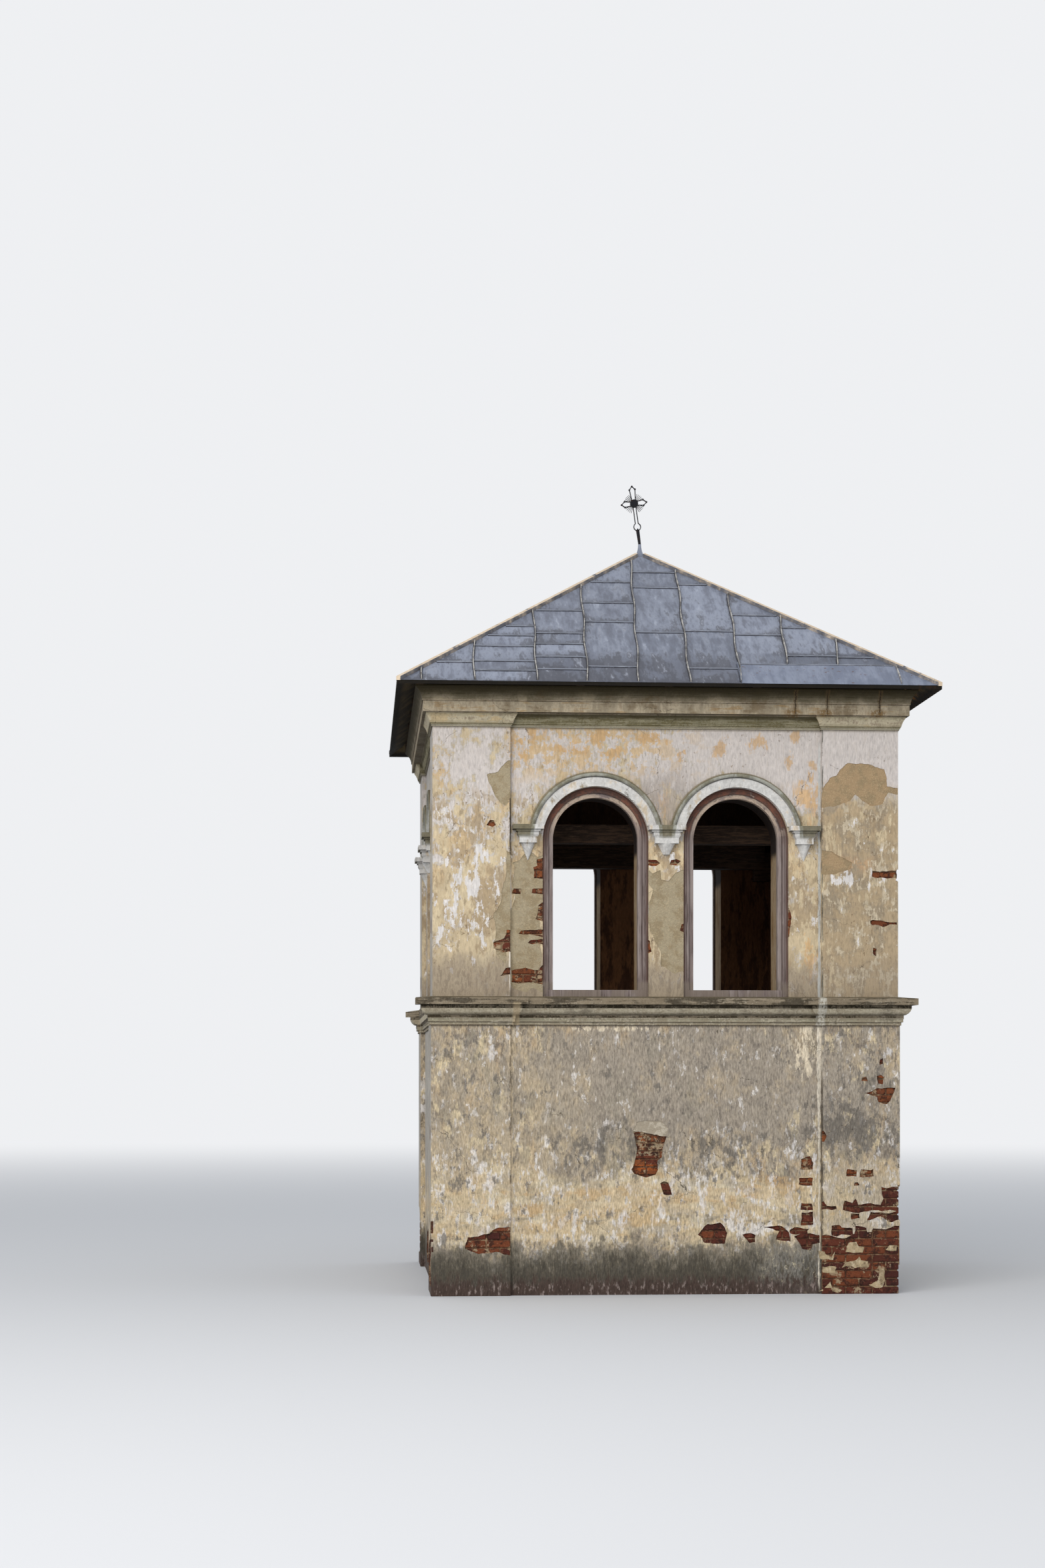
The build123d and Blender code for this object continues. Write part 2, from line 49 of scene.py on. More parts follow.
def tone(red, green, blue):
    # a colour as it looks on screen, 0 to 255, made linear for the shaders
    parts = []
    for part in (red / 255, green / 255, blue / 255):
        parts.append(part / 12.92 if part <= 0.04045 else ((part + 0.055) / 1.055) ** 2.4)
    return (*parts, 1.0)


class Wire:
    # one socket of a material; sums on wires add Math nodes
    def __init__(self, tree, socket):
        self.tree = tree
        self.socket = socket

    def node(self, kind, values=None, out=0, **settings):
        made = self.tree.nodes.new(kind)
        for name, value in settings.items():
            setattr(made, name, value)
        for key, value in (values or {}).items():
            if isinstance(value, Wire):
                self.tree.links.new(value.socket, made.inputs[key])
            else:
                made.inputs[key].default_value = value
        return Wire(self.tree, made.outputs[out])

    def maths(self, operation, *others):
        values = dict(enumerate((self,) + others))
        return self.node("ShaderNodeMath", values, operation=operation)

    def __add__(self, other):
        return self.maths("ADD", other)

    def __sub__(self, other):
        return self.maths("SUBTRACT", other)

    def __mul__(self, other):
        return self.maths("MULTIPLY", other)

    def __rsub__(self, other):
        return self.node("ShaderNodeMath", {0: other, 1: self}, operation="SUBTRACT")

    __radd__ = __add__
    __rmul__ = __mul__

    def size(self):
        return self.maths("ABSOLUTE")

    def least(self, other):
        return self.maths("MINIMUM", other)

    def most(self, other):
        return self.maths("MAXIMUM", other)

    def rise(self, start, end):
        # 0 up to start, 1 from end on, and smooth between them; start may be the larger
        if start <= end:
            return self.node("ShaderNodeMapRange", {0: self, 1: start, 2: end},
                             interpolation_type="SMOOTHSTEP")
        return 1 - self.rise(end, start)

    def band(self, low, high, soft):
        return self.rise(low - soft, low + soft) * self.rise(high + soft, high - soft)

    def swing(self, much):
        # a noise made to swing either side of nothing
        return (self - 0.5) * much


class Paint:
    # a material under way: its place, its noises and its layers of colour
    def __init__(self, name, roughness=0.85, **sockets):
        self.material = bpy.data.materials.new(name)
        self.material.use_nodes = True
        self.tree = self.material.node_tree
        self.shader = self.tree.nodes["Principled BSDF"]
        self.shader.inputs["Roughness"].default_value = roughness
        self.shader.inputs["Specular IOR Level"].default_value = 0.2
        for key, value in sockets.items():
            self.shader.inputs[key.replace("_", " ")].default_value = value
        self.place = Wire(self.tree, None).node("ShaderNodeTexCoord", out="Object")
        self.x, self.y, self.z = (self.place.node("ShaderNodeSeparateXYZ", {0: self.place}, axis)
                                  for axis in range(3))
        self.front = self.y.rise(-2.0, -2.05)
        self.colour = None

    def noise(self, scale, detail=4, rough=0.6, stretch=(1, 1, 1), shift=0.0, at=None, out=0):
        at = at or self.place
        at = at.node("ShaderNodeMapping", {0: at, 1: (shift, shift * 0.7, shift * 1.3), 3: stretch})
        return at.node("ShaderNodeTexNoise", {"Vector": at, "Scale": scale, "Detail": detail,
                                              "Roughness": rough}, out)

    def keep(self, **noises):
        # the noises that a material's layers share, by name: scale, detail, rough, stretch, shift
        for name, settings in noises.items():
            setattr(self, name, self.noise(*settings))

    def mixed(self, **shares):
        # kept noises added up, each by its share
        parts = [getattr(self, name) * share for name, share in shares.items()]
        return sum(parts[1:], parts[0])

    def cracks(self, scale, wide, stretch=(1, 1, 1), shift=0.0):
        # thin wandering lines, in parts only
        sway = self.noise(6, 4, 0.6, shift=shift, out=1)
        sway = sway.node("ShaderNodeVectorMath", {0: sway, 3: 0.16}, operation="SCALE")
        at = sway.node("ShaderNodeVectorMath", {0: self.place, 1: sway}, operation="ADD")
        at = at.node("ShaderNodeMapping", {0: at, 1: (shift, shift, shift), 3: stretch})
        edge = at.node("ShaderNodeTexVoronoi", {"Vector": at, "Scale": scale}, feature="DISTANCE_TO_EDGE")
        parts = self.noise(2.3, 3, 0.6, shift=shift + 5).rise(0.5, 0.56)
        return edge.rise(wide * scale, wide * scale * 0.4) * parts

    def ground(self, colour):
        self.colour = self.place.node("ShaderNodeRGB")
        self.colour.socket.default_value = tone(*colour)

    def coat(self, colour, mask):
        values = {0: mask, 6: self.colour, 7: tone(*colour)}
        self.colour = self.place.node("ShaderNodeMix", values, 2, data_type="RGBA")

    def dabs(self, colour, scale, shift, low, high, much, where=0.0):
        # soft upright dabs of one colour, thicker where there is more of the last value
        dab = self.noise(scale, 5, 0.65, (1, 1, 0.45), shift) + where
        self.coat(colour, dab.rise(low, high) * much)

    def shade(self, factor):
        # darkens or lightens what is painted so far
        grey = factor.node("ShaderNodeCombineColor", {0: factor, 1: factor, 2: factor})
        values = {0: 1.0, 6: self.colour, 7: grey}
        self.colour = self.place.node("ShaderNodeMix", values, 2, data_type="RGBA", blend_type="MULTIPLY")

    def spot(self, x, z, wide, tall, soft=0.5):
        # 1 in an oval round a place on the front, fading out past it
        across = (self.x - x) * (1 / wide)
        up = (self.z - z) * (1 / tall)
        return (across * across + up * up).maths("SQRT").rise(1 + soft, 1 - soft) * self.front

    def area(self, xLow, xHigh, zLow, zHigh, soft=0.08):
        return self.x.band(xLow, xHigh, soft) * self.z.band(zLow, zHigh, soft) * self.front

    def upright(self, x, sway):
        # how far a place lies from a wavering upright line on the front or back
        return (self.x + sway - x).size()

    def along(self):
        # on any side, how far a place lies from the middle of its wall
        return self.x.size().least(self.y.size())

    def depth(self):
        # on any side, how far out a place lies
        return self.x.size().most(self.y.size())

    def facing(self, axis):
        at = self.place.node("ShaderNodeNewGeometry", out="Normal")
        return at.node("ShaderNodeSeparateXYZ", {0: at}, axis)

    def archReach(self):
        # from the middle line of an opening: sideways below the springing, outwards in the arch
        aside = (self.along() - opening["offset"]).size()
        over = (self.z - springLevel).most(0.0)
        return (aside * aside + over * over).maths("SQRT")

    def finish(self, height=None, distance=0.004, roughness=None):
        self.tree.links.new(self.colour.socket, self.shader.inputs["Base Color"])
        if roughness:
            self.tree.links.new(roughness.socket, self.shader.inputs["Roughness"])
        if height:
            bump = height.node("ShaderNodeBump", {"Height": height, "Distance": distance})
            self.tree.links.new(bump.socket, self.shader.inputs["Normal"])
        return self.material


def addPiece(bm, name, materials, stands=(), smooth=False):
    # the finished mesh as a visible piece, which may stand for nodes of the frame
    mesh = bpy.data.meshes.new(name)
    bm.normal_update()
    bm.to_mesh(mesh)
    bm.free()
    piece = bpy.data.objects.new(name, mesh)
    bpy.context.scene.collection.objects.link(piece)
    for material in materials:
        mesh.materials.append(material)
    if smooth:
        mesh.shade_smooth()
    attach(piece, "root")
    if stands:
        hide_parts(*stands)
    return piece


def box(bm, low, high, bevel):
    # a box between two corners, with its edges eased
    made = bmesh.ops.create_cube(bm, size=1)
    centre = [(a + b) / 2 for a, b in zip(low, high)]
    sizes = [b - a for a, b in zip(low, high)]
    bmesh.ops.scale(bm, vec=sizes, verts=made["verts"])
    bmesh.ops.translate(bm, vec=centre, verts=made["verts"])
    edges = list({edge for vert in made["verts"] for edge in vert.link_edges})
    eased = bmesh.ops.bevel(bm, geom=edges, offset=bevel, segments=1, affect="EDGES", profile=0.5,
                            material=-1)
    return eased["verts"]


def newVerts(made):
    return [item for item in made["geom"] if isinstance(item, bmesh.types.BMVert)]


def newEdges(made):
    return [item for item in made["geom"] if isinstance(item, bmesh.types.BMEdge)]


sideTurns = {"front": 0, "right": 90, "back": 180, "left": 270}


def turnTo(bm, verts, side):
    bmesh.ops.rotate(bm, verts=verts, cent=(0, 0, 0),
                     matrix=Matrix.Rotation(math.radians(sideTurns[side]), 3, "Z"))


# The faces and levels of the tower, from the frame
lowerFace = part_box("lower_corner_piers")[1].x
lowerPanel = -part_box("lower_front_wall")[0].y
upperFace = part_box("upper_corner_piers")[1].x
upperPanel = -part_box("upper_front_wall")[0].y
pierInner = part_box("upper_front_wall")[1].x
roomHalf = -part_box("upper_front_wall")[1].y
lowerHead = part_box("lower_corner_piers")[1].z
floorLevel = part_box("upper_corner_piers")[0].z
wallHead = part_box("upper_corner_piers")[1].z
frameBack = -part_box("window_frames_front")[1].y
# A side's paired openings: from its middle to the axis and the jambs of one, and from floor to springing
opening = {"offset": 0.68, "nearJamb": 0.17, "farJamb": 1.19, "spring": 1.505}
springLevel = floorLevel + opening["spring"]
pilaster = 1.5  # from the middle of a side to the edge of its pilasters


# The wash of the upper storey. Stains are orange spots on the front: place, half width, half height
upperWash = {
    "ground": (201, 183, 151), "sand": (180, 161, 131), "cream": (214, 197, 164),
    "ochre": (205, 172, 126), "white": (192, 185, 176), "brightWhite": (210, 202, 197),
    "worn": (172, 152, 123), "foot": (155, 141, 124), "orange": (197, 160, 112),
    "orangeBand": (205, 176, 132), "drips": (208, 174, 132),
    "stains": [
        (-1.42, 5.22, 0.1, 0.12), (-1.29, 5.37, 0.05, 0.08), (-1.17, 5.39, 0.06, 0.08),
        (-0.92, 5.25, 0.17, 0.05), (-0.69, 5.37, 0.14, 0.08), (-0.56, 5.2, 0.11, 0.06),
        (-0.18, 5.35, 0.18, 0.05), (0.54, 5.26, 0.07, 0.08), (0.9, 5.3, 0.09, 0.07),
        (0.16, 5.19, 0.05, 0.06), (1.25, 5.37, 0.05, 0.05), (1.21, 5.15, 0.05, 0.07),
        (1.42, 5.03, 0.04, 0.12), (1.4, 4.8, 0.12, 0.12), (1.38, 3.25, 0.07, 0.22), (-0.02, 4.75, 0.06, 0.2),
    ],
}


def upperTopCoat(p):
    # the white top coat, nearly whole high on the right and in flecks lower down
    high = p.z.rise(3.6, 5.2) * 0.085 + p.x.rise(-0.4, 0.9) * p.z.rise(4.65, 4.95) * 0.1 * p.front
    white = p.mixed(blotch=0.46, patchy=0.34, smudge=0.14, fleck=0.06) + high
    p.coat(upperWash["white"], (white - 0.035 - p.rightPier * 0.03).rise(0.485, 0.535))
    p.coat(upperWash["brightWhite"], (white - 0.06 - p.rightPier * 0.045).rise(0.495, 0.53) * 0.9)
    scratched = p.mixed(brushed=0.6, fleck=0.4).rise(0.54, 0.62) * p.z.rise(4.5, 5.0)
    p.coat((170, 161, 150), scratched * 0.5)


def upperWorn(p):
    # worn to the render, mottled with what is left of the wash
    worn = p.mixed(blotch=0.35, cloud=0.25, smudge=0.25, other=0.15) + p.z.rise(4.75, 3.4) * 0.03
    worn = worn + p.rightPier * p.z.rise(4.98, 4.9) * 0.06 - p.area(1.22, 1.49, 2.9, 3.5, 0.05) * 0.05
    worn = (worn - 0.012).rise(0.5, 0.525) * p.z.rise(5.0, 4.6)
    p.coat(upperWash["worn"], worn * 0.9)
    p.coat((152, 139, 119), p.rightPier * worn * p.mixed(blotch=0.5, patchy=0.5).rise(0.47, 0.56) * 0.8)
    p.coat((196, 160, 122), p.area(1.5, 2.0, 4.08, 4.22, 0.06) * p.patchy.rise(0.42, 0.5) * 0.7)
    p.coat((134, 117, 94), p.mixed(fleck=0.25, smudge=0.35, patchy=0.4).rise(0.49, 0.57) * worn * 0.7)
    p.coat((197, 183, 158), p.mixed(patchy=0.5, other=0.3, fleck=0.2).rise(0.51, 0.56) * worn * 0.85)
    runs = p.mixed(other=0.4, patchy=0.35, smudge=0.25) + p.spot(1.76, 4.02, 0.17, 0.1) * 0.07
    runs = runs + p.spot(-1.95, 4.0, 0.35, 0.55, 0.6) * 0.05 + p.z.band(3.5, 4.3, 0.2) * 0.01
    p.coat((212, 207, 203), (runs - p.rightPier * 0.02).rise(0.565, 0.59) * p.z.rise(5.2, 4.8))
    gathered = p.noise(3.5, 3, 0.6, shift=72).rise(0.52, 0.58)
    p.coat((112, 92, 66), p.noise(34, 4, 0.7, (1, 1, 0.7), 71).rise(0.6, 0.64) * gathered * 0.7)


def upperOrange(p):
    # orange wash under the cornice and beside the arches, a grey film between them, and painted shade
    # darkening the front towards the cornice
    band = p.z.rise(4.8, 5.15) * p.x.rise(0.7, -0.4) * p.x.rise(-1.6, -1.45)
    p.coat(upperWash["orangeBand"], (p.patchy + band * 0.06 - 0.03).rise(0.5, 0.55) * band * p.front * 0.85)
    for x, z, wide, tall in upperWash["stains"]:
        spot = p.spot(x, z, wide * 1.2, tall * 1.2, 0.7)
        mark = spot * 0.12 + p.mixed(patchy=0.45, other=0.3, fleck=0.25)
        p.coat(upperWash["orange"], mark.rise(0.575, 0.635) * spot.rise(0.0, 0.2) * 0.75)
    drips = p.area(1.2, 1.46, 4.45, 4.9, 0.08) * p.mixed(other=0.4, smudge=0.6).rise(0.47, 0.55)
    p.coat(upperWash["drips"], drips * 0.75)
    # painted shade darkening the front towards the cornice
    p.coat((116, 104, 92), p.z.rise(4.55, 5.2) * p.front * (0.1 + p.smudge.rise(0.48, 0.6) * 0.14))
    greyed = p.mixed(smudge=0.5, other=0.5).rise(0.4, 0.54) * 0.6 + 0.15
    p.coat((158, 149, 142), p.spot(0.0, 4.76, 0.34, 0.3) * p.front * greyed)


def upperEdges(p):
    # grey film at the foot, painted shade under the cornice, a dark line round the arches that is partly dirt
    # and partly painted shadow, lines down the pilaster edges, the dark one partly a crack and partly painted
    # shadow
    foot = (p.z + p.blotch.swing(0.6) + p.smudge.swing(0.3)).rise(3.3, 3.05) * (1 - p.rightPier * 0.6)
    p.coat(upperWash["foot"], foot * 0.75)
    p.coat((118, 107, 92), p.mixed(fleck=0.5, smudge=0.5).rise(0.49, 0.56) * foot * 0.6)
    # painted shade just under the cornice
    p.coat((118, 108, 90), p.z.rise(wallHead - 0.03, wallHead - 0.005) * 0.6)
    # a dark line round the arches, partly dirt and partly painted shadow
    ring = (p.archReach() + p.fleck.swing(0.01) - 0.65).size().rise(0.012, 0.004)
    p.coat((136, 124, 96), ring * p.z.rise(springLevel + 0.1, springLevel + 0.2) * 0.75)
    sway = p.smudge.swing(0.03)
    leftLine = p.upright(-pilaster - 0.007, sway)
    # a dark line beside the left pilaster, partly a crack and partly painted shadow
    p.coat((54, 45, 36), leftLine.rise(0.008, 0.004) * p.z.band(4.2, 5.1, 0.03) * p.front)
    p.coat((214, 204, 190), leftLine.rise(0.014, 0.008) * p.z.band(2.95, 4.1, 0.08) * p.front)
    rightLine = p.upright(pilaster - 0.01, sway)
    p.coat((188, 190, 187), rightLine.rise(0.016, 0.01) * p.z.rise(5.4, 5.2) * p.front * 0.85)
    seam = p.upright(pilaster + 0.012, sway).rise(0.007, 0.003) * p.other.rise(0.42, 0.5)
    p.coat((78, 78, 68), seam * p.front * 0.85)


def upperLimewash():
    # old tints of limewash over render, thick and white high up, worn and cream lower down
    p = Paint("upperLimewash", 0.92)
    p.keep(cloud=(1.7, 3, 0.55, (1, 1, 0.8)), blotch=(4.6, 6, 0.68, (1, 1, 0.62), 3.1),
           other=(10, 5, 0.66, (1, 1, 0.38), 14.3), smudge=(22, 4, 0.64, (1, 1, 0.22), 7.7),
           fleck=(60, 3, 0.62, (1, 1, 0.28), 1.9), brushed=(75, 3, 0.6, (1, 1, 0.09), 5.5),
           patchy=(8, 6, 0.7, (1, 1, 0.95), 44))
    p.rightPier = p.x.rise(pilaster - 0.01, pilaster + 0.03) * p.front
    p.ground(upperWash["ground"])
    p.coat(upperWash["sand"], p.mixed(blotch=0.5, smudge=0.3, fleck=0.2).rise(0.46, 0.56) * 0.8)
    p.dabs(upperWash["cream"], 9, 83, 0.5, 0.58, 0.75)
    p.dabs((150, 133, 108), 14, 87, 0.56, 0.63, 0.7)
    ochre = p.mixed(cloud=0.5, blotch=0.35, smudge=0.15).rise(0.48, 0.56)
    p.coat(upperWash["ochre"], ochre * p.z.rise(3.6, 4.3) * 0.75)
    upperTopCoat(p)
    upperWorn(p)
    upperOrange(p)
    upperEdges(p)
    p.coat((90, 77, 62), p.cracks(0.9, 0.003, (1, 1, 1.4), 3) * 0.7)
    weatheredShadedSide(p)
    inside(p)
    p.shade(1 + p.fleck.swing(0.9) + p.smudge.swing(0.6) + p.brushed.swing(0.25))
    return p.finish(p.mixed(fleck=0.5, smudge=0.8, blotch=0.7), 0.008)


def weatheredShadedSide(p):
    # the left side painted a cool pale grey, the plaster pale and its coolness painted shade, with dark
    # streaks
    turned = p.facing(0).rise(-0.6, -0.9) * p.x.rise(-2.0, -2.15)
    p.coat((176, 172, 165), turned * p.z.rise(0.7, 1.3) * 0.75)
    streak = p.noise(9, 5, 0.68, (1, 1, 0.25), 91)
    p.coat((112, 104, 94), turned * streak.rise(0.52, 0.6) * 0.7)


def inside(p):
    # brown brickwork on the faces towards the room, darkened to the right and above the beams as painted
    # shade; the reveals dark in the arches
    streak = p.noise(9, 5, 0.7, (1, 1, 0.25), 51)
    reveal = p.depth().rise(frameBack + 0.004, frameBack - 0.004)
    p.coat((170, 148, 118), reveal)
    p.coat((136, 104, 66), reveal * streak.rise(0.5, 0.58) * 0.8)
    p.coat((40, 31, 27), reveal * p.z.rise(4.2, 4.3))
    within = p.depth().rise(roomHalf + 0.012, roomHalf + 0.002)
    p.coat((128, 88, 58), within)
    p.coat((84, 56, 40), within * streak.rise(0.46, 0.58))
    # painted shade of the dim room, to the right and above the beams
    p.coat((44, 29, 23), within * p.x.rise(0.7, 1.2) * 0.4)
    p.coat((44, 31, 22), within * p.z.rise(4.45, 4.75) * 0.85)


# The wash of the lower storey. Clouds are tan and lie in the belt above the damp: place, half sizes
lowerWash = {
    "ground": (178, 162, 138), "grey": (155, 145, 131), "warm": (191, 171, 139),
    "belt": (199, 182, 150), "tan": (184, 152, 110), "longTan": (184, 156, 116),
    "cream": (212, 199, 172), "lilac": (213, 207, 203), "white": (216, 210, 203),
    "damp": (108, 102, 90), "deepDamp": (74, 69, 60), "foot": (72, 56, 51),
    "clouds": [
        (-0.62, 0.98, 0.42, 0.07), (0.42, 0.95, 0.36, 0.08), (0.95, 1.02, 0.3, 0.1),
        (-0.98, 0.7, 0.14, 0.07), (-0.3, 0.72, 0.16, 0.07), (-1.3, 0.92, 0.12, 0.2), (-1.75, 0.9, 0.2, 0.12),
    ],
}


def lowerDabs(p):
    # greys and creams brushed on over each other, smoother in the grey cloud high up
    greyTop = p.spot(0.25, 2.05, 1.5, 0.62, 0.5)
    rightPier = p.x.rise(pilaster - 0.01, pilaster + 0.03) * p.front * p.z.band(1.2, 2.0, 0.3)
    grey = p.mixed(blotch=0.5, other=0.2, smudge=0.3) + greyTop * 0.1 + rightPier * 0.03
    p.coat(lowerWash["grey"], grey.rise(0.46, 0.56) * 0.9)
    warm = p.noise(3.2, 5, 0.66, (1, 1, 0.8), 33) - greyTop * 0.05
    p.coat(lowerWash["warm"], warm.rise(0.48, 0.58) * 0.7)
    smooth = greyTop * -0.09
    p.dabs((186, 160, 125), 6, 53, 0.54, 0.63, 0.55, where=smooth)
    p.dabs((126, 118, 108), 8, 43, 0.52, 0.59, 0.65, where=greyTop * -0.015 + rightPier * 0.03)
    p.dabs((214, 196, 160), 8, 41, 0.54, 0.6, 0.8, where=smooth - rightPier * 0.02)
    p.dabs((138, 132, 116), 5, 59, 0.55, 0.62, 0.5)
    p.dabs((212, 207, 203), 11, 47, 0.575, 0.62, 0.85, where=smooth * 0.6)
    p.dabs((168, 158, 144), 17, 49, 0.52, 0.6, 0.55)
    p.dabs((108, 100, 92), 20, 67, 0.56, 0.62, 0.6)
    p.coat((159, 148, 134), greyTop * 0.45)
    p.coat((180, 165, 140), p.area(-2.3, -0.8, 1.0, 2.2, 0.35) * 0.3)


def lowerBelt(p):
    # cream and ochre low down in clouds, with white dabs and a few darker patches above them
    belt = (p.z + p.cloud.swing(1.0) + p.blotch.swing(0.5) + p.other.swing(0.2)).band(0.5, 1.13, 0.08)
    p.coat(lowerWash["belt"], belt * p.mixed(blotch=0.4, other=0.3, smudge=0.3).rise(0.36, 0.46) * 0.85)
    for x, z, wide, tall in lowerWash["clouds"]:
        spot = p.spot(x, z, wide, tall, 0.6)
        tan = spot * 0.1 + p.mixed(long=0.5, other=0.3, smudge=0.2)
        p.coat(lowerWash["tan"], tan.rise(0.53, 0.6) * spot.rise(0.0, 0.3) * 0.75)
    p.coat(lowerWash["longTan"], belt * p.long.rise(0.52, 0.59) * 0.7)
    broken = (p.z + p.other.swing(0.12) + p.blotch.swing(0.1)).band(0.66, 0.76, 0.03)
    p.coat((138, 130, 117), broken * p.long.rise(0.52, 0.46) * 0.75)
    p.coat((140, 132, 118), belt * p.mixed(long=0.5, other=0.5).rise(0.45, 0.39) * 0.7)
    p.coat(lowerWash["cream"], belt * p.noise(5, 3, 0.5, (0.8, 0.8, 1.5), 23).rise(0.5, 0.6) * 0.65)
    p.coat((172, 162, 147), belt * p.noise(6, 3, 0.5, (0.8, 0.8, 1.3), 25).rise(0.52, 0.62) * 0.6)
    lilac = p.noise(7, 5, 0.64, (1, 1, 0.6), 95) * 0.6 + p.smudge * 0.4
    p.coat(lowerWash["lilac"], belt * lilac.rise(0.525, 0.58) * 0.9)
    p.coat((202, 180, 144), belt * p.mixed(blotch=0.5, long=0.5).rise(0.44, 0.55) * 0.5)
    low = p.z.band(0.55, 1.5, 0.25) * 0.035 + p.spot(0.8, 0.68, 0.2, 0.12) * 0.1
    p.coat(lowerWash["white"], (p.mixed(runs=0.6, other=0.25, smudge=0.15) + low).rise(0.57, 0.615) * 0.85)
    darker = p.spot(-0.6, 1.4, 0.5, 0.22, 0.6) + p.spot(0.5, 1.35, 0.6, 0.2, 0.6)
    darker = darker + p.spot(1.85, 1.5, 0.4, 0.3, 0.6) * 1.5
    dark = p.mixed(other=0.45, blotch=0.3, smudge=0.25) + darker * 0.045
    p.coat((108, 102, 94), dark.rise(0.53, 0.59) * 0.85)
    plain = p.area(1.52, 2.3, 0.45, 1.2, 0.12) * p.mixed(blotch=0.5, other=0.5).rise(0.56, 0.5)
    p.coat((176, 162, 140), plain * 0.75)


def risingDamp(p):
    # a ragged head, darkest near the ground, streaked dark and light
    low = p.z + p.blotch.swing(0.7) + p.other.swing(0.35) + p.smudge.swing(0.3)
    wet = low.rise(0.54, 0.38)
    p.coat(lowerWash["damp"], wet * 0.88)
    p.coat(lowerWash["deepDamp"], low.rise(0.42, 0.22) * 0.8)
    pale = p.x.rise(0.7, 1.2) * p.x.rise(1.6, 1.5) * p.front * wet
    p.coat((140, 136, 128), pale * p.mixed(blotch=0.4, smudge=0.6).rise(0.42, 0.52) * 0.75)
    p.coat((196, 186, 160), pale * p.noise(20, 5, 0.66, (1, 1, 0.8), 37).rise(0.58, 0.62) * 0.8)
    streaks = p.mixed(smudge=0.45, fleck=0.3, other=0.25)
    p.coat((66, 62, 55), streaks.rise(0.49, 0.56) * low.rise(0.52, 0.36) * 0.75)
    p.coat((148, 139, 123), streaks.rise(0.48, 0.42) * wet * low.rise(0.08, 0.3) * 0.65)
    foot = (p.z + p.smudge.swing(0.35) + p.other.swing(0.3)).rise(0.22, 0.08)
    p.coat(lowerWash["foot"], foot * 0.8)
    p.coat((150, 136, 130), p.mixed(fleck=0.4, smudge=0.6).rise(0.54, 0.6) * foot * 0.7)


def lowerEdges(p):
    # lime washed down from the mouldings and down the edges of the pilasters
    sway = p.smudge.swing(0.04) + p.fleck.swing(0.02)
    edge = p.upright(pilaster - 0.015, sway) - p.z.rise(1.2, 2.5) * 0.014
    p.coat((216, 207, 190), edge.rise(0.01, 0.006) * p.front * p.z.rise(0.0, 0.12) * 0.9)
    beside = p.upright(pilaster + 0.009, sway * 0.5).rise(0.009, 0.004) * p.other.rise(0.4, 0.46)
    p.coat((72, 64, 54), beside * p.front * p.z.rise(2.3, 1.9) * 0.8)
    washed = p.area(1.2, 1.46, 2.05, 2.6, 0.1) + p.spot(-1.44, 2.46, 0.07, 0.12)
    washed = washed + p.spot(-0.55, 2.56, 0.5, 0.03)
    p.coat((212, 198, 174), (p.mixed(runs=0.5, smudge=0.5) + washed * 0.06).rise(0.55, 0.59) * washed)
    leftEdge = (p.upright(-pilaster + 0.01, sway) - p.z.rise(1.9, 2.4) * 0.014).rise(0.015, 0.008)
    p.coat((212, 194, 164), leftEdge * p.front * p.z.rise(0.45, 0.6) * p.other.rise(0.44, 0.52) * 0.8)
    joint = p.upright(-pilaster - 0.007, sway * 0.5).rise(0.008, 0.003) * p.other.rise(0.5, 0.44)
    p.coat((84, 70, 54), joint * p.front * p.z.rise(0.3, 0.5) * 0.8)


def lowerLimewash():
    # soft upright dabs of many tints, grey above and cream below, and a damp dark foot
    p = Paint("lowerLimewash", 0.93)
    p.keep(cloud=(1.5, 4, 0.6, (1, 1, 1.2), 2), blotch=(4.6, 6, 0.7, (1, 1, 0.8), 5),
           other=(9.5, 6, 0.7, (1, 1, 0.62), 17), smudge=(24, 4, 0.64, (1, 1, 0.3), 9),
           fleck=(60, 3, 0.62, (1, 1, 0.28), 13), hatch=(85, 4, 0.66, (1, 1, 0.25), 21),
           long=(3.2, 5, 0.62, (0.55, 0.55, 1.8), 85), runs=(13, 5, 0.68, (1, 1, 0.5), 61))
    p.ground(lowerWash["ground"])
    lowerDabs(p)
    lowerBelt(p)
    risingDamp(p)
    lowerEdges(p)
    p.coat((78, 70, 58), p.cracks(1.05, 0.0028, (1, 1, 1.7), 9) * 0.85)
    # painted shade just under the string course
    p.coat((70, 60, 48), p.z.rise(lowerHead - 0.03, lowerHead - 0.004) * 0.6)
    weatheredShadedSide(p)
    inside(p)
    p.shade(1 + p.fleck.swing(0.9) + p.smudge.swing(0.5) + p.other.swing(0.4) + p.hatch.swing(1.8))
    return p.finish(p.mixed(fleck=0.6, smudge=0.8, blotch=0.7), 0.01)


def bareRender():
    # the lime render under fallen limewash, greyer to the left and paler low down
    p = Paint("bareRender", 0.95)
    grit = p.noise(70, 5, 0.72)
    lowDown = p.z.rise(2.5, 2.4)
    p.ground((168, 143, 110))
    p.coat((166, 155, 130), p.x.rise(1.1, 0.3) * 0.85)
    p.coat((146, 129, 100), p.noise(9, 5, 0.68).rise(0.45, 0.6) * 0.7)
    p.coat((188, 168, 136), grit.rise(0.55, 0.64) * 0.5)
    p.coat((112, 93, 72), p.noise(120, 3, 0.6).rise(0.6, 0.7) * 0.6)
    p.coat((166, 155, 138), lowDown * 0.85)
    p.coat((196, 186, 168), lowDown * p.noise(9, 5, 0.7, shift=6).rise(0.5, 0.56) * 0.8)
    p.shade(1 + grit.swing(0.6))
    return p.finish(grit, 0.006)


